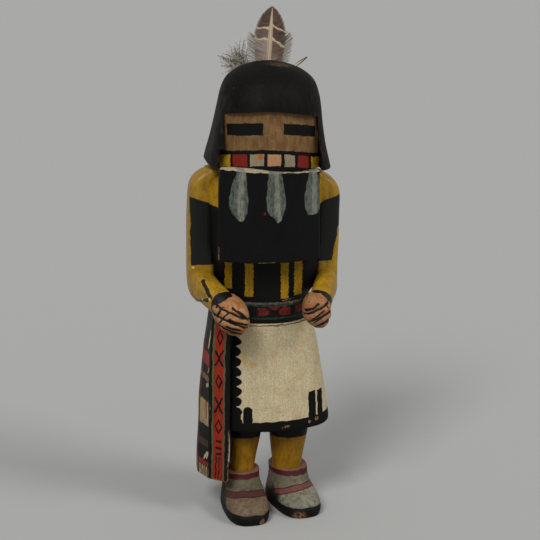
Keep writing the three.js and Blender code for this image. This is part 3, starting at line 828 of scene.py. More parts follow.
# %% Hands: bare peach-brown wood with drawn fingers
HAND_LINES = [
    ((-22.6, -39.5, 123.3), (-20.2, -40.6, 121.6), 1.4), ((-20.2, -40.6, 121.6), (-16.0, -40.3, 118.0), 1.7),
    ((-24.6, -41.4, 117.4), (-21.0, -41.5, 116.0), 1.5), ((-21.0, -41.5, 116.0), (-15.4, -40.0, 114.4), 1.3),
    ((-26.2, -40.8, 113.9), (-19.4, -40.7, 111.6), 1.4), ((-24.6, -40.0, 110.4), (-18.4, -39.8, 108.8), 0.9),
    ((-28.2, -36.8, 126.2), (-30.0, -36.2, 124.6), 0.9), ((-30.0, -36.2, 124.6), (-31.4, -33.0, 120.8), 0.9),
    ((-26.8, -39.4, 123.9), (-29.0, -38.7, 122.8), 1.0), ((-29.0, -38.7, 122.8), (-30.7, -38.0, 118.8), 1.0),
    ((-24.9, -40.7, 121.3), (-27.2, -40.1, 119.4), 1.0), ((-27.2, -40.1, 119.4), (-29.6, -38.6, 115.6), 1.1),
    ((-25.5, -38.5, 126.4), (-22.6, -38.7, 125.8), 0.8), ((16.0, -35.1, 119.7), (19.4, -37.0, 120.9), 1.5),
    ((19.4, -37.0, 120.9), (22.6, -36.9, 122.9), 1.4), ((19.2, -37.8, 115.2), (25.4, -37.8, 119.5), 1.0),
    ((19.6, -37.8, 112.6), (26.4, -37.0, 117.4), 0.9), ((21.6, -37.2, 110.8), (27.6, -36.0, 114.6), 0.9),
    ((17.6, -35.5, 123.6), (20.4, -36.0, 125.4), 0.9), ((26.6, -36.0, 122.8), (28.0, -34.6, 119.6), 0.8),
]
SQUASH = np.array([1, 0.3, 1])
GROOVE_HALF = 0.55


def finger_grooves(tree, place):
    """Dark paint in the carved cuts: the distance across a fist's slanting lines, in steps of a finger."""
    x, y, _ = add(tree, "SeparateXYZ", place).outputs
    front = under(tree, y, -31, 3)
    grooves = []
    for (x0, z0, tilt), side in ((RIGHT_CUTS, under), (LEFT_CUTS, over)):
        here = side(tree, x, 0, 1)
        lean = (math.sin(tilt), 0, math.cos(tilt))
        across = calc(tree, "SUBTRACT", slant(tree, place, *lean), x0 * lean[0] + z0 * lean[2])
        for level in (-FINGER_STEP, 0, FINGER_STEP):
            cut = between(tree, across, level - GROOVE_HALF, level + GROOVE_HALF, 0.4)
            grooves.append(all_of(tree, cut, front, here))
    return any_of(tree, *grooves)


def hand_paint():
    """Peach-brown with orange at the knuckles; dark lines divide the fingers."""
    material, tree, place, wavered = start_paint("peach_brown_hands")
    flush = noise(tree, place, 3.4, 3, 0.6, shift=6)
    pale = noise(tree, place, 1.6, 3, 0.7, shift=2)
    squashed = vector(tree, "MULTIPLY", wavered, SQUASH.tolist())
    rows = [(SQUASH * start, SQUASH * end, width) for start, end, width in HAND_LINES]
    lines = any_of(tree, drawn(tree, squashed, stroke, rows), finger_grooves(tree, wavered))
    colour = coats(tree, "#98714e", (flush, 0.47, 0.6, 0.85, "#96531f"), (pale, 0.56, 0.7, 0.7, "#b08f6e"),
                   (pale, 0.42, 0.32, 0.6, "#6e4a30"), (lines, "#15110f"))
    return finish_paint(material, place, colour, 0.6, grain=0.22)


keep_paint("hands", hand_paint())


# %% [markdown]
# ### Kilt, belt and sash
#
# The kilt is kaolin white gone cream, and its wood was left a little fuzzy, so it is finely speckled with
# brown. Its border is black: scallops down one side, a hem, and short bars that rise from it. The sash
# hangs at the right hip with a red front and a banded side.

# %% Kilt
SCALLOPS = 5.45
KILT_BARS = [(-15.3, 50, -10.3, 60.8), (-24, 50, -16.5, 60.9), (20.6, 50, 24.9, 68.9), (25.9, 50, 29.2, 68.5)]
ORANGE_STAINS = [((-14.2, -18, 88.4), (1.5, 9, 2.6), 0.9), ((-10.2, -19, 86.2), (2.6, 9, 1.4), 0.9)]
HEM_RUBS = [((5.8, -23, 51.0), (9.4, -22.8, 52.0), 1.2), ((-8, -23.6, 49.2), (2, -23.9, 49.2), 0.7)]
HEM_CHIPS = [((21.0, -19.1, 52.6), (0.9, 2, 0.9)), ((25.3, -16.6, 53.4), (1.2, 2, 1.1))]


def kilt_paint():
    """The border's edge is x = -18.8 + 3.1 |cos(pi (z - 98.3) / step)|^0.6: round bulges, sharp notches."""
    material, tree, place, wavered = start_paint("kaolin_white_kilt")
    x, y, z = add(tree, "SeparateXYZ", wavered).outputs
    speck = noise(tree, place, 0.62, 3, 0.75, shift=8)
    stain = noise(tree, place, 7, 4, 0.65, shift=12)
    turn = calc(tree, "MULTIPLY", calc(tree, "SUBTRACT", z, 98.3), math.pi / SCALLOPS)
    wave = calc(tree, "POWER", calc(tree, "ABSOLUTE", calc(tree, "COSINE", turn)), 0.6)
    off = calc(tree, "SUBTRACT", x, calc(tree, "MULTIPLY_ADD", wave, 3.1, -18.8))
    scallop = all_of(tree, under(tree, off, 0, 0.35), under(tree, y, FRONT_HALF, 1),
                     under(tree, z, 101.2, 0.4))
    hem = under(tree, slant(tree, wavered, -0.03, 0, 1), 54.7, 0.35)
    round_top = spot(tree, wavered, (-12.8, -21, 60.6), (2.5, 9, 2.6), 0.2)
    black = any_of(tree, scallop, hem, round_top, drawn(tree, wavered, rectangle, KILT_BARS))
    orange = calc(tree, "MULTIPLY", drawn(tree, wavered, spot, ORANGE_STAINS), 0.5)
    colour = coats(tree, "#bdb08f", (speck, 0.47, 0.72, 0.9, "#86704c"), (stain, 0.5, 0.7, 0.55, "#a68a63"),
                   (speck, 0.42, 0.3, 0.5, "#d2c6a6"), (orange, "#b98a2c"),
                   (between(tree, z, 107.2, 107.9, 0.4), "#6b4a2f"), (black, "#0d0c0b"))
    chips = any_of(tree, drawn(tree, wavered, stroke, HEM_RUBS), drawn(tree, place, spot, HEM_CHIPS))
    return finish_paint(material, place, colour, 0.82, wear=chips, grain=0.14, relief=0.7, mottle=0.06,
                        specular=0.1)


keep_paint("kilt", kilt_paint())


# %% Belt: black between green lines, with red patches and a cross
BELT_PATCHES = [
    (-7.2, 113.2, -1.2, 117.4), (4.2, 113.2, 10.4, 117.2), (-2.0, 116.4, 8.4, 118.2),
    (13.2, 113.6, 17.6, 117.6), (-17.8, 113.4, -12.6, 117.2),
]
BELT_CROSS = [((-2.4, -21, 117.4), (5.4, -21, 112.8), 1.2), ((-2.4, -21, 112.8), (5.4, -21, 117.4), 1.2)]


def belt_paint():
    """Bands by level, and the marks by x and z on the front."""
    material, tree, place, wavered = start_paint("green_red_black_belt")
    z = add(tree, "SeparateXYZ", wavered).outputs[2]
    broken = ramp(tree, noise(tree, place, 1.6, 3, 0.7), 0.4, 0.6, 0.35, 1)
    green = any_of(tree, between(tree, z, 118.1, 119.4), between(tree, z, 111.2, 112.3))
    red = drawn(tree, wavered, rectangle, BELT_PATCHES)
    tan, green, red = (all_of(tree, mask, broken) for mask in (between(tree, z, 119.3, 120.2), green, red))
    colour = coats(tree, "#0d0c0b", (tan, "#5c5136"), (green, "#22382a"), (red, "#6c1d1c"),
                   (drawn(tree, wavered, stroke, BELT_CROSS), "#0b0a0a"))
    return finish_paint(material, place, colour, 0.55, grain=0.25)


keep_paint("belt", belt_paint())


# %% Sash: the marks on its red front
FACET_WIDTH, FACET_MIDDLE = 9.8, 0.455


def shares(tree, u, v, centre, half_width, half_height):
    """|u| / half width and |v - centre| / half height."""
    across = calc(tree, "MULTIPLY", calc(tree, "ABSOLUTE", u), 1 / half_width)
    off = calc(tree, "ABSOLUTE", calc(tree, "SUBTRACT", v, centre))
    return across, calc(tree, "MULTIPLY", off, 1 / half_height)


def diamond(tree, u, v, centre):
    """The outline where the two shares add up to 1, about half a part thick."""
    return between(tree, calc(tree, "ADD", *shares(tree, u, v, centre, 1.75, 4.2)), 0.64, 1.1, 0.2)


def slanting_cross(tree, u, v, centre):
    """Two slanting strokes where the shares are equal."""
    across, tall = shares(tree, u, v, centre, 1.9, 4.4)
    gap = calc(tree, "SUBTRACT", across, tall)
    return all_of(tree, between(tree, gap, -0.3, 0.3, 0.2), under(tree, tall, 1, 0.1))


def short_line(tree, u, v, low):
    """A level line across the middle of the facet."""
    return all_of(tree, between(tree, v, low, low + 1.3), between(tree, u, -1.2, 1.7))


SASH_FIGURES = [(diamond, (101.4, 77.2, 52.0)), (slanting_cross, (90.2, 64.0)),
                (short_line, (43.2, 39.2, 36.0))]


def sash_front(tree, place, f, z):
    """Red between olive lines, with diamonds, crosses and threads down the middle; f is 0 to 1 across."""
    u = calc(tree, "MULTIPLY", calc(tree, "SUBTRACT", f, FACET_MIDDLE), FACET_WIDTH)
    thread = calc(tree, "SINE", calc(tree, "MULTIPLY", u, 4.4))
    threads = all_of(tree, under(tree, z, 35.0, 0.5), between(tree, thread, 0.35, 2),
                     between(tree, u, -1.7, 1.8))
    shapes = [shape(tree, u, z, level) for shape, levels in SASH_FIGURES for level in levels]
    motifs = any_of(tree, *shapes, threads)
    grain = noise(tree, place, 1.4, 3, 0.7, (1, 1, 3))
    red = coats(tree, "#8f2814", (grain, 0.5, 0.68, 0.65, "#5f170c"))
    olive = any_of(tree, between(tree, f, 0.115, 0.215, 0.04), between(tree, f, 0.69, 0.78, 0.04))
    return coats(tree, "#0e0c0b", (between(tree, f, 0.225, 0.685, 0.03), red), (olive, "#5a5134"),
                 (motifs, "#120c0b"))


# %% Sash: the bands on its side
SASH_BANDS = [
    (20, 27.0, "#a8956a"), (27.4, 30.2, "#7b241b"), (38.6, 42.6, "#3a2d20"), (50.6, 64.4, "#96805a"),
    (75.6, 78.4, "#6e5a3e"), (84.0, 91.0, "#8c2a1e"),
]
SASH_DASHES = [
    ((-34.4, -13.4, 32.6), (-33.4, -15.4, 36.6), 1.3), ((-35.6, -10.4, 31.6), (-34.2, -13.6, 35.6), 1.4),
    ((-33.6, -12.6, 80.2), (-33.0, -14.4, 83.2), 1.1), ((-34.2, -10.6, 83.2), (-33.6, -12.6, 80.2), 1.0),
    ((-33.0, -11.9, 94.0), (-31.2, -14.6, 103.5), 1.9),
]
SASH_DOTS = [((-34.0, -11.5, 73.2), (1.2, 1.0, 1.2)), ((-33.4, -13.8, 74.0), (1.2, 1.0, 1.4))]


def sash_side(tree, place, wavered):
    """Bands by level, a fringe at the foot, and lines by y at both edges."""
    _, y, z = add(tree, "SeparateXYZ", wavered).outputs
    bands = [(between(tree, z, low, high, 0.4), paint) for low, high, paint in SASH_BANDS]
    fringe = calc(tree, "SINE", calc(tree, "MULTIPLY", y, 2.6))
    fringe = all_of(tree, under(tree, z, 27.4, 0.3), between(tree, fringe, 0.0, 2, 0.4))
    inner_red = all_of(tree, between(tree, z, 54, 64.5), between(tree, y, -12.4, -11.2))
    streak = noise(tree, place, 0.9, 3, 0.6, (1, 1, 9), shift=3)
    streaks = all_of(tree, between(tree, z, 53, 65.4), ramp(tree, streak, 0.5, 0.62))
    dashes = any_of(tree, drawn(tree, wavered, stroke, SASH_DASHES), drawn(tree, wavered, spot, SASH_DOTS))
    margin = any_of(tree, between(tree, y, -16.5, -14.9, 0.3), between(tree, y, -3.4, -2.0, 0.4))
    return coats(tree, "#0f0d0b", *bands, (streaks, "#a99671"), (inner_red, "#7b241b"), (fringe, "#0f0d0b"),
                 (dashes, "#b7a37b"), (margin, "#0e0c0b"), (between(tree, y, -3.2, -1.6, 0.5), "#5d2a1c"))


def sash_paint():
    """On the front facet f runs from 0 at its outer corner to 1 at its inner one; the rest is the side."""
    material, tree, place, wavered = start_paint("painted_sash")
    x, y, z = add(tree, "SeparateXYZ", wavered).outputs
    corner = calc(tree, "ADD", ramp(tree, z, 21, 92, -33.4, -32.2), ramp(tree, z, 92, 116, 0, 1.8))
    f = calc(tree, "MULTIPLY", calc(tree, "SUBTRACT", x, corner), 1 / FACET_WIDTH)
    front = all_of(tree, over(tree, f, 0, 0.03), under(tree, y, -12, 1))
    colour = coats(tree, sash_side(tree, place, wavered), (front, sash_front(tree, place, f, z)))
    inner = all_of(tree, between(tree, f, 0.955, 1.2, 0.04), under(tree, z, 50, 4), under(tree, y, -12, 2))
    foot = all_of(tree, under(tree, z, 21.8, 0.6), under(tree, y, -10, 2))
    return finish_paint(material, place, colour, 0.55, wear=any_of(tree, inner, foot), grain=0.25)


keep_paint("sash", sash_paint())


# %% [markdown]
# ### Legs and shoes
#
# The legs are ochre, with a black band at their top under the kilt's hem that is partly black paint and
# partly painted shadow of the hem. The shoes have a red collar and a red strap over a grey upper, black
# soles, and toes rubbed down to the wood.

# %% Legs
# Where the black band at the top of the legs begins: partly black paint, partly painted shadow of the kilt's
# hem
BLACK_BAND_AND_HEM_SHADOW_LEVEL = 41.3


def leg_paint():
    """Ochre, browner towards the top and in patches, under a top band of black paint and painted hem shadow.
    """
    material, tree, place, wavered = start_paint("ochre_legs")
    z = add(tree, "SeparateXYZ", wavered).outputs[2]
    brown = noise(tree, place, 2.6, 4, 0.7, (1, 1, 4), shift=5)
    # The black band over the top of the leg is partly black paint and partly painted shadow of the kilt's
    # hem.
    colour = coats(tree, ochre(tree, place), (brown, 0.5, 0.68, 0.7, "#6a4810"), (z, 24, 42, 0.45, "#7a5410"),
                   (0.4, "#75490a"), (over(tree, z, BLACK_BAND_AND_HEM_SHADOW_LEVEL, 0.4), "#0c0b0a"))
    return finish_paint(material, place, colour, 0.5, grain=0.25)


keep_paint("legs", leg_paint())


# %% Shoes
STRAP_TURN, STRAP_START = 0.19, 1.46
TOES_WORN = [((-6.6, -33, 1.6), (1.6, 2.4, 2.2), 0.3), ((14.5, -26, 1.8), (3.6, 4, 2.6), 0.8)]


def shoe_paint():
    """Sole, toe, strap, upper, collar and bare rim, by level; the left shoe's inner side is black."""
    material, tree, place, wavered = start_paint("grey_and_red_shoes")
    x, _, z = add(tree, "SeparateXYZ", wavered).outputs
    left = over(tree, x, -0.5, 1)
    toe, upper, strap = (coats(tree, right_paint, (left, left_paint)) for right_paint, left_paint in (
        ("#705c49", "#7c7866"), ("#5a5242", "#67604e"), ("#4a2a26", "#6c413d")))
    dirt = noise(tree, place, 2.4, 4, 0.7, shift=4)
    turned = all_of(tree, calc(tree, "MULTIPLY_ADD", x, -STRAP_TURN, STRAP_START), left)
    slope = calc(tree, "ADD", slant(tree, wavered, 0, 0.26, 1), turned)
    strap_edges = any_of(tree, between(tree, slope, 6.2, 6.7, 0.3), between(tree, slope, 9.0, 9.6, 0.3))
    inner = all_of(tree, left, between(tree, slant(tree, wavered, 1, 0.23, 0), -40, 1.2, 1.2))
    outer = between(tree, slant(tree, wavered, 1, -0.06, 0), -30, -23.3, 0.8)
    colour = coats(tree, toe, (over(tree, slope, 9.3, 0.4), upper),
                   (between(tree, slope, 6.5, 9.2, 0.4), strap),
                   (strap_edges, "#3a1a18"), (dirt, 0.46, 0.68, 0.8, "#3f372c"),
                   (between(tree, z, 18.9, 21.7, 0.4), "#43171a"),
                   (between(tree, z, 21.7, 26, 0.3), "#6f4d36"),
                   (inner, "#0d0c0b"), (outer, "#221c17"), (under(tree, z, 6.0, 0.5), "#0d0c0b"))
    worn = drawn(tree, wavered, spot, TOES_WORN)
    return finish_paint(material, place, colour, 0.62, wear=worn, grain=0.2, relief=0.6)


keep_paint("shoes", shoe_paint())


# %% [markdown]
# ## Feathers
#
# Each feather is a tapered shaft with a vane of separate barbs, as a real one is. A flat card with a
# see-through picture would be lighter, but its edge would be hard and the mesh itself would have no feather
# in it. A barb is a thin blade of four long faces, and all the blades of a vane are one array, so a few
# hundred cost little.

# %% Where the feathers stand
CROWN = np.array([2.4, 5, 244.3])
CROWN_ROUNDING = 0.022
QUILL_RADIUS, SOCKET_CLEARANCE, SOCKET_DEPTH, SOCKET_TOP = 0.8, 0.3, 7, 6
FEATHERS = {
    "tall_feather": {"beside": (0.4, 5), "lean": (0.08, 0.04), "length": 28.6, "width": 17},
    "back_feather": {"beside": (1.2, 7.5), "lean": (0.04, 0.1), "length": 17, "width": 24.5},
    "speckled_tuft": {"beside": (-10.0, 12), "lean": (-1.5, 0.2), "length": 19, "width": 13},
    "feather_strand": {"beside": (12.4, 12), "lean": (1.5, 0.2), "length": 12, "width": 1.5},
}
print("feathers:", ", ".join(FEATHERS))


def feather_frame(spec):
    """Foot on the crown, direction of the shaft, and the vane's across and facing directions."""
    beside = spec["beside"]
    foot = CROWN + np.array([*beside, -CROWN_ROUNDING * (beside[0] ** 2 + beside[1] ** 2)])
    along = unit(np.array([*spec["lean"], 1.0]))
    across = unit(np.array([1.0, 0, 0]) - along * along[0])
    return foot, along, across, np.cross(along, across)


def shaft_rows(spec, length, radii, below=SOCKET_DEPTH):
    """Rows for a path shell: a straight shaft from below the crown to its tip, with radii at even steps."""
    foot, along, _, _ = feather_frame(spec)
    steps = np.linspace(-below, length, len(radii))
    return [(*(foot + along * step), radius, radius, 2) for step, radius in zip(steps, radii)]


def socket_shell(spec):
    """The hole for a quill: a little wider and deeper than the quill, and open above the crown."""
    radius = QUILL_RADIUS + SOCKET_CLEARANCE
    return path_shell(shaft_rows(spec, SOCKET_TOP, [radius, radius], SOCKET_DEPTH + SOCKET_CLEARANCE), 20, 4)


# %% [markdown]
# ## One block of wood
#
# Every form was cut from the same block, so the forms are joined: the face is cut out of the head, the rest
# is added, and the holes for the quills are drilled. The Manifold solver keeps exact creases and each
# face's own paint. The usual other way, a voxel remesh, would round every crease to the size of its voxels.

# %% Join the forms
def joined(name, base, operands):
    """The base with its operands joined or cut, as one mesh; faces keep the material of their own form."""
    groups = []
    for operation, pieces in operands:
        group = bpy.data.collections.new(operation.lower())
        groups.append(group)
        bpy.context.scene.collection.children.link(group)
        for piece in pieces:
            group.objects.link(piece)
        modifier = base.modifiers.new(operation.lower(), "BOOLEAN")
        modifier.operation = operation
        modifier.solver = "MANIFOLD"
        modifier.operand_type = "COLLECTION"
        modifier.collection = group
        modifier.material_mode = "TRANSFER"
    graph = bpy.context.evaluated_depsgraph_get()
    mesh = bpy.data.meshes.new_from_object(base.evaluated_get(graph))
    mesh.name = name
    for piece in [base, *(piece for _, pieces in operands for piece in pieces)]:
        bpy.data.objects.remove(piece)
    for group in groups:
        bpy.data.collections.remove(group)
    return linked(name, mesh)


# %% The forms, each with its own paint
CREASE = math.radians(38)


def carve():
    """Every form as a closed mesh, then one block of wood."""
    head = closed_mesh("head", level_shell(HEAD, 160, 84, HEAD_TILT, edge=0.25), PAINT["hair"])
    face = closed_mesh("face", face_cut(), PAINT["face"])
    forms = [
        ("neck", level_shell(NECK, 64, 8), "chest"),
        ("torso", level_shell(TORSO, 128, 60), "chest"),
        ("kilt", level_shell(KILT, 152, 56), "kilt"),
        ("belt", level_shell(BELT, 152, 14, edge=0.3), "belt"),
        ("right_arm", level_shell(RIGHT_ARM, 76, 70), "arms"),
        ("left_arm", level_shell(LEFT_ARM, 76, 70), "arms"),
        ("right_forearm", path_shell(RIGHT_FOREARM, 60, 36), "arms"),
        ("left_forearm", path_shell(LEFT_FOREARM, 60, 36), "arms"),
        ("right_fist", fist_shell(RIGHT_FIST, *RIGHT_CUTS), "hands"),
        ("left_fist", fist_shell(LEFT_FIST, *LEFT_CUTS), "hands"),
        ("right_leg", level_shell(RIGHT_LEG, 68, 30), "legs"),
        ("left_leg", level_shell(LEFT_LEG, 68, 30), "legs"),
        ("right_shoe", shoe_shell(RIGHT_SHOE_PLACE, RIGHT_SHOE_TURN, RIGHT_COLLAR), "shoes"),
        ("left_shoe", shoe_shell(LEFT_SHOE_PLACE, LEFT_SHOE_TURN, LEFT_COLLAR), "shoes"),
        ("beard", beard_shell(), "beard"),
        ("sash", sash_shell(), "sash"),
    ]
    pieces = [closed_mesh(name, grid, PAINT[paint]) for name, grid, paint in forms]
    holes = [closed_mesh(name + "_hole", socket_shell(spec), PAINT["hair"])
             for name, spec in FEATHERS.items()]
    return joined("carved_doll", head, [("DIFFERENCE", [face]), ("UNION", pieces), ("DIFFERENCE", holes)])


figure = carve()
figure.data.set_sharp_from_angle(angle=CREASE)
figure.data.calc_loop_triangles()
print("carved doll:", len(figure.data.loop_triangles), "triangles, paints:", len(figure.data.materials))
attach(figure, "root")
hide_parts("carved_figure")


# %% [markdown]
# ## Barbs
#
# A barb is a blade that leaves the shaft at a slant and ends on the vane's outline. Neighbouring barbs hook
# together and come apart in clumps, so they share a sweep that opens small splits. The tuft has none of
# these hooks: its filaments go their own ways and carry short barbules.

# %% Blades: the one shape of every barb
BLADE_CORNERS = 4


def blades(centre, across, facing, half_width, half_thickness):
    """Closed blades with a diamond section: corners at centre +- across * width and +- facing * thickness."""
    side = across * half_width[..., None]
    front = facing * half_thickness[..., None]
    corners = np.stack([centre - side, centre - front, centre + side, centre + front], axis=2)
    count, steps = centre.shape[:2]
    corner = np.arange(BLADE_CORNERS)
    first = np.arange(count)[:, None] * steps * BLADE_CORNERS
    start = first[..., None] + np.arange(steps - 1)[None, :, None] * BLADE_CORNERS
    nearer, beside = start + corner, start + (corner + 1) % BLADE_CORNERS
    sides = np.stack([nearer, beside, beside + BLADE_CORNERS, nearer + BLADE_CORNERS], axis=3).reshape(-1, 4)
    ends = np.concatenate([first + corner[::-1], first + (steps - 1) * BLADE_CORNERS + corner])
    return corners.reshape(-1, 3), np.concatenate([sides, ends])


def blade_mesh(name, parts, materials):
    """One mesh from sets of blades or shells: each is points, faces, u and v of the points, a material."""
    points, faces, places, kinds = zip(*parts)
    starts = np.cumsum([0] + [len(some) for some in points])
    moved = [(np.array(face) + start).tolist() for some, start in zip(faces, starts) for face in some]
    mesh = bpy.data.meshes.new(name)
    mesh.from_pydata(place_on_figure(np.concatenate(points)).tolist(), [], moved)
    corner_points = np.zeros(len(mesh.loops), int)
    mesh.loops.foreach_get("vertex_index", corner_points)
    mesh.uv_layers.new(name="vane").data.foreach_set("uv", np.concatenate(places)[corner_points].ravel())
    mesh.polygons.foreach_set("material_index", np.repeat(kinds, [len(some) for some in faces]))
    mesh.polygons.foreach_set("use_smooth", np.ones(len(mesh.polygons), bool))
    for material in materials:
        mesh.materials.append(material)
    mesh.update()
    print(name, len(mesh.polygons), "faces")
    return linked(name, mesh)


def shaft_part(spec, length, radii, around, along):
    """A shaft as a part of a feather: its rings, closed at both ends, with v rising along it."""
    grid = path_shell(shaft_rows(spec, length, radii), around, along)
    here = np.arange(around)
    ends = [here[::-1].tolist(), (here + (along - 1) * around).tolist()]
    rise = np.repeat(np.linspace(0, 1, along), around)
    place = np.column_stack([np.full(len(rise), 0.5), rise])
    return grid.reshape(-1, 3), [*ring_quads(along, around), *ends], place, 1


# %% A vane of barbs
BARB_CURVE = 1.3
BARB_THICKNESS = 0.07


def vane_part(spec, profile, bare, count, advance, clumps, seed, curl=0.0, split=0.12, steps=7):
    """Barbs leave the shaft at even steps, and every barb ends on the vane's outline.

    For t from 0 at the shaft to 1 at the edge: out = side * t * half width, up = root + rise * t^1.3,
    forward = -curl * t^2. The rise grows from the root of the vane to its tip.
    """
    foot, along, across, facing = feather_frame(spec)
    random = np.random.default_rng(seed)
    start = bare * spec["length"]
    reach = spec["length"] - start
    share = (np.arange(count) + 0.5) / count
    t = np.linspace(0, 1, steps)
    shares_up, widths = np.array(profile).T
    parts = []
    for side in (-1, 1):
        gather = np.interp(share * clumps, np.arange(clumps + 1), random.uniform(-1, 1, clumps + 1))
        in_clump = (share * clumps) % 1 - 0.5
        sweep = advance * (0.35 + 0.65 * np.sqrt(share)) * (1 + split * gather - split * in_clump)
        rise = sweep * spec["width"] / 2 * np.interp(share, shares_up, widths)
        rise = np.minimum(rise, (1 - share) * reach)
        half = spec["width"] / 2 * np.interp(share + rise / reach, shares_up, widths)
        half *= 1 + 0.03 * random.uniform(-1, 1, count)
        out = side * half[:, None] * t
        up = start + share[:, None] * reach + rise[:, None] * t**BARB_CURVE
        lift = -curl * t**2 + 0.2 * random.uniform(-1, 1, count)[:, None] * t
        centre = foot + out[..., None] * across + up[..., None] * along - lift[..., None] * facing
        run = unit(np.gradient(centre, axis=1))
        front = np.broadcast_to(facing, run.shape)
        width = (reach / count) * (0.8 - 0.2 * t**3) * np.ones((count, 1))
        width[:, -1] *= 0.5
        thickness = np.full(width.shape, BARB_THICKNESS)
        points, faces = blades(centre, np.cross(run, front), front, width, thickness)
        u = 0.5 + 0.5 * side * t * np.ones((count, 1))
        place = np.stack([u, (up - start) / reach], axis=2).reshape(-1, 2)
        parts.append((points, faces, np.repeat(place, BLADE_CORNERS, axis=0), 0))
    return parts


# %% Loose filaments with short barbules, for the tuft
TUFT_FAN, TUFT_REACH = 1.0, 13.8
BARBULE_STEPS = 3


def tuft_parts(spec, filaments, seed, knots=12, steps=9):
    """Filaments fan out from the foot of the shaft: the direction is along * cos(a) + across * sin(a).

    Each bends a little towards the tip and carries short barbules on both sides, which hold the light and
    dark specks.
    """
    foot, along, across, facing = feather_frame(spec)
    random = np.random.default_rng(seed)
    t = np.linspace(0, 1, steps)
    fan = TUFT_FAN * random.uniform(-1, 1, filaments)
    root = random.uniform(-3, 5, filaments)
    length = TUFT_REACH * random.uniform(0.62, 1.0, filaments) * (1 + 0.12 * fan)
    turn = fan[:, None] + 0.35 * random.uniform(-1, 1, filaments)[:, None] * t
    up = root[:, None] + length[:, None] * t * np.cos(turn)
    out = length[:, None] * t * np.sin(turn)
    off = random.uniform(-1, 1, filaments)[:, None] * 3.0 * t**1.2
    centre = foot + up[..., None] * along + out[..., None] * across + off[..., None] * facing
    run = unit(np.gradient(centre, axis=1))
    flat = unit(np.cross(run, facing))
    width = 0.11 * (1 - 0.75 * t) * np.ones((filaments, 1))
    points, faces = blades(centre, flat, np.cross(flat, run), width, width)
    v = np.repeat(np.broadcast_to(t, up.shape), BLADE_CORNERS)
    which = np.repeat(random.uniform(0, 1, filaments), steps * BLADE_CORNERS)
    parts = [(points, faces, np.column_stack([which, v]), 0)]
    at = np.linspace(0.1, 0.92, knots)
    low = np.minimum((at * (steps - 1)).astype(int), steps - 2)
    mix = (at * (steps - 1) - low)[None, :, None]
    joint = centre[:, low] * (1 - mix) + centre[:, low + 1] * mix
    s = np.linspace(0, 1, BARBULE_STEPS)
    for side in (-1, 1):
        way = unit(flat[:, low] * side + 0.9 * run[:, low] + random.uniform(-0.5, 0.5, joint.shape))
        size = random.uniform(0.8, 1.9, joint.shape[:2]) * (1 - 0.45 * at)
        line = joint[:, :, None] + way[:, :, None] * (size[:, :, None] * s)[..., None]
        line = line.reshape(-1, BARBULE_STEPS, 3)
        way = np.repeat(way.reshape(-1, 1, 3), BARBULE_STEPS, axis=1)
        beside = unit(np.cross(way, facing))
        thin = 0.12 * (1 - 0.7 * s) * np.ones((len(line), 1))
        points, faces = blades(line, beside, np.cross(beside, way), thin, thin)
        v = np.repeat(np.broadcast_to(at, joint.shape[:2]), BARBULE_STEPS * BLADE_CORNERS)
        which = np.repeat(random.uniform(0, 1, len(line)), BARBULE_STEPS * BLADE_CORNERS)
        parts.append((points, faces, np.column_stack([which, v]), 0))
    return parts


# %% [markdown]
# ### Feather colours
#
# A feather's bars lie in its barbs, so its pattern follows the vane and not the world: every barb carries a
# place in a UV map called vane, where u runs from the left edge over the shaft at 0.5 to the right edge,
# and v from the lowest barb to the tip. Keratin has a soft gloss that a painted surface lacks.

# %% The barred body feather
def start_feather(name):
    """A material that reads the vane map: returns it with its tree, u, v and the whole place."""
    material, tree = new_material(name)
    place = add(tree, "UVMap", uv_map="vane")
    u, v, _ = add(tree, "SeparateXYZ", place).outputs
    return material, tree, u, v, place


def finish_feather(material, colour, roughness=0.5):
    """Keratin: soft gloss on a matt ground."""
    tree = material.node_tree
    shader = add(tree, "BsdfPrincipled", Base_Color=colour, Roughness=roughness, Specular_IOR_Level=0.3)
    add(tree, "OutputMaterial", shader)
    return material


def barbs(tree, place, barbs_along, shift):
    """Noise that changes quickly along the shaft and slowly across it, so neighbouring barbs differ."""
    moved = add(tree, "Mapping", place, Location=(shift, 0, 0), Scale=(4, barbs_along, 1))
    return add(tree, "TexNoise", moved, Scale=1, Detail=3, Roughness=0.7)


CREAM_LINES = [[(0.622, 0.652, 0.015), (0.44, 0.468, 0.02)], [(0.695, 0.725, 0.02), (0.452, 0.486, 0.02)]]


def barred_feather():
    """Dark above cream lines and pale below them; the bars slope by 0.26 (u - 0.5) on the right."""
    material, tree, u, v, place = start_feather("barred_brown_feather")
    off = calc(tree, "SUBTRACT", u, 0.5)
    right = over(tree, off, 0, 0.02)
    waver = ramp(tree, barbs(tree, place, 7, 3), 0.3, 0.7, -0.025, 0.025)
    level = calc(tree, "MULTIPLY_ADD", calc(tree, "MULTIPLY", off, right), 0.26, v)
    level = calc(tree, "ADD", level, waver)
    left_lines, right_lines = (any_of(tree, *[between(tree, level, *row) for row in rows])
                               for rows in CREAM_LINES)
    streak, fleck = barbs(tree, place, 90, 0), barbs(tree, place, 26, 5)
    dark = coats(tree, "#4a3a30", (streak, 0.4, 0.6, 0.7, "#5f4a3e"), (fleck, 0.54, 0.62, 0.7, "#7a4a38"),
                 (fleck, 0.44, 0.36, 0.6, "#33271f"))
    pale = coats(tree, "#9a8a80", (streak, 0.4, 0.65, 0.8, "#7c6b60"))
    brown = coats(tree, "#6f5b4e", (streak, 0.4, 0.65, 0.7, "#5b4638"))
    left_vane = coats(tree, pale, (level, 0.43, 0.47, 0.75, "#5c4d43"), (level, 0.62, 0.65, 1, dark),
                      (left_lines, "#c2b094"))
    right_vane = coats(tree, pale, (level, 0.1, 0.3, 1, brown), (level, 0.46, 0.5, 1, dark),
                       (right_lines, "#c2b094"))
    rachis = under(tree, calc(tree, "ABSOLUTE", off), 0.07, 0.05)
    return finish_feather(material, coats(tree, left_vane, (right, right_vane), (rachis, "#b9a88f")))


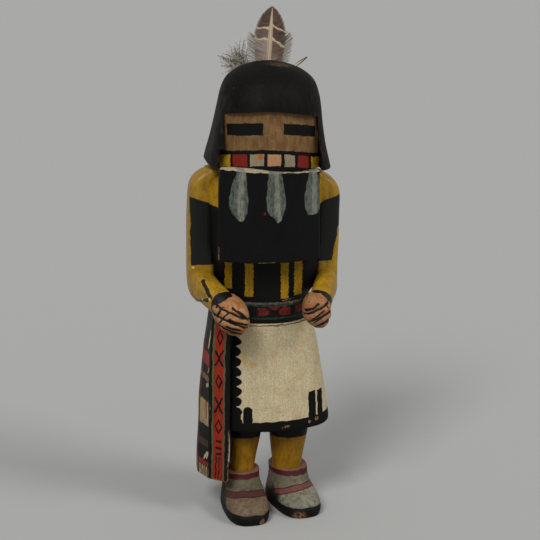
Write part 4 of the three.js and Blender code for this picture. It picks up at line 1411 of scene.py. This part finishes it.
# %% The plain feathers and the shafts
def grey_feather():
    """Pale and downy at the base and on the left, brown towards the right edge and the tips."""
    material, tree, u, v, place = start_feather("grey_brown_feather")
    right = all_of(tree, ramp(tree, u, 0.7, 0.98), ramp(tree, v, 0.35, 0.9))
    streak = barbs(tree, place, 60, 2)
    colour = coats(tree, "#a2978c", (streak, 0.4, 0.62, 0.7, "#7d6f64"), (right, "#4f3d30"))
    return finish_feather(material, colour)


def speckled_feather():
    """Every filament and barbule is dark, cream or grey by its own number u."""
    material, tree, u, _, _ = start_feather("speckled_down_feather")
    colour = coats(tree, "#8b8476", (under(tree, u, 0.42, 0.02), "#2c2720"),
                   (over(tree, u, 0.7, 0.02), "#d2cab8"))
    return finish_feather(material, colour)


def strand_feather():
    """Cream at the root and dark brown at the point."""
    material, tree, _, v, _ = start_feather("dark_tipped_strand")
    return finish_feather(material, coats(tree, "#a08d76", (v, 0.3, 0.7, 1, "#3b2b22")))


def quill():
    """Cream horn: smoother and glossier than the barbs, a little browner towards the root."""
    material, tree, _, v, _ = start_feather("cream_quill")
    return finish_feather(material, coats(tree, "#c4b496", (v, 0.5, 0, 0.6, "#9b7f5c")), 0.35)


VANE = {
    "tall_feather": barred_feather(), "back_feather": grey_feather(), "speckled_tuft": speckled_feather(),
    "feather_strand": strand_feather(), "shaft": quill(),
}
print("feather materials:", [material.name for material in VANE.values()])


# %% Grow the four feathers
TALL_OUTLINE = [
    (0, 0.8), (0.12, 0.84), (0.3, 0.96), (0.45, 1), (0.6, 0.96), (0.75, 0.8), (0.87, 0.56), (0.95, 0.3),
    (1, 0.04),
]
BACK_OUTLINE = [(0, 0.86), (0.3, 0.92), (0.6, 0.98), (0.8, 1), (0.92, 0.92), (1, 0.6)]
STRAND_OUTLINE = [(0, 0.25), (0.3, 0.8), (0.6, 1), (1, 0.15)]


def grow_feathers():
    """The four feathers, each one mesh of shaft and barbs that stands for its solid."""
    tall, back, tuft, strand = FEATHERS.values()
    shafts = [
        shaft_part(tall, 27.6, [0.8, 0.6, 0.45, 0.38, 0.3, 0.12], 10, 24),
        shaft_part(back, 15.6, [0.8, 0.7, 0.45, 0.25, 0.08], 10, 16),
        shaft_part(tuft, 9, [0.8, 0.7, 0.4, 0.12], 8, 12),
        shaft_part(strand, 11.6, [0.8, 0.7, 0.4, 0.06], 8, 12),
    ]
    vanes = [
        vane_part(tall, TALL_OUTLINE, -0.1, 150, 0.5, 5, seed=3, curl=0.8, split=0.035),
        vane_part(back, BACK_OUTLINE, -0.2, 120, 0.9, 30, seed=8, curl=0.8, split=0.1),
        tuft_parts(tuft, 84, seed=11),
        vane_part(strand, STRAND_OUTLINE, 0.1, 26, 2.2, 5, seed=5, split=0.3),
    ]
    names = [
        ("barred_body_feather", "barred_feather"), ("grey_body_feather", "grey_feather"),
        ("speckled_down_tuft", "speckled_feather"), ("stiff_feather_strand", "grey_feather"),
    ]
    for node, shaft, vane, (name, slot) in zip(FEATHERS, shafts, vanes, names):
        piece = blade_mesh(name, [shaft, *vane], [VANE[node], VANE["shaft"]])
        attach(piece, "root")
        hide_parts(node)


grow_feathers()


# %% [markdown]
# ## Floor, light and camera
#
# The doll stands on a plain grey sweep between two broad, soft lights, one at each side in front of it. The
# lights are suns with a wide angle: their light doesn't fall off with distance, so the floor keeps one tone
# to its far end, and the wide angle makes the soft double shadow. Area lights would do the same close up,
# but darken the far floor.

# %% Floor
FLOOR_REACH = 9
mesh = bpy.data.meshes.new("floor")
corners = [(-FLOOR_REACH, -FLOOR_REACH, 0), (FLOOR_REACH, -FLOOR_REACH, 0),
           (FLOOR_REACH, FLOOR_REACH, 0), (-FLOOR_REACH, FLOOR_REACH, 0)]
mesh.from_pydata(corners, [], [(0, 1, 2, 3)])
paper, paper_tree = new_material("matt_grey_paper")
paper_shader = add(paper_tree, "BsdfPrincipled", Base_Color=linear("#a3a3a1"), Roughness=0.9,
                   Specular_IOR_Level=0.1)
add(paper_tree, "OutputMaterial", paper_shader)
mesh.materials.append(paper)
floor = linked("floor", mesh)
print("floor:", 2 * FLOOR_REACH, "m wide")

# %% Lights: the left one is stronger; each has a turn about z, a height in degrees and a strength
SUNS = {"left": (-30, 45, 1.85), "right": (55, 40, 1.15)}
SUN_ANGLE, SKY = 20, 0.42
for name, (turn, rise, strength) in SUNS.items():
    light = bpy.data.lights.new(name, "SUN")
    light.energy = strength
    light.angle = math.radians(SUN_ANGLE)
    linked(name, light).rotation_euler = (math.radians(90 - rise), 0, math.radians(turn))
world = bpy.data.worlds.new("studio")
world.use_nodes = True
world.node_tree.nodes["Background"].inputs["Color"].default_value = (SKY, SKY, SKY, 1)
bpy.context.scene.world = world
bpy.context.scene.view_settings.view_transform = "Standard"
print("suns:", SUNS, "sky:", SKY)

# %% Camera: eight degrees to the doll's right and a little above, 0.95 m away
DISTANCE, LENS, SENSOR = 0.95, 118, 36
target = Vector(place_on_figure(np.array([2.2, 0, 132.7])))
azimuth, elevation = math.radians(-8), math.radians(14.5)
level = math.cos(elevation)
back = Vector((math.sin(azimuth) * level, -math.cos(azimuth) * level, math.sin(elevation)))
camera = linked("camera", bpy.data.cameras.new("camera"))
camera.location = target + DISTANCE * back
camera.rotation_euler = back.to_track_quat("Z", "Y").to_euler()
camera.data.lens = LENS
camera.data.sensor_width = SENSOR
bpy.context.scene.camera = camera
print("the camera looks at", [round(value, 4) for value in target])
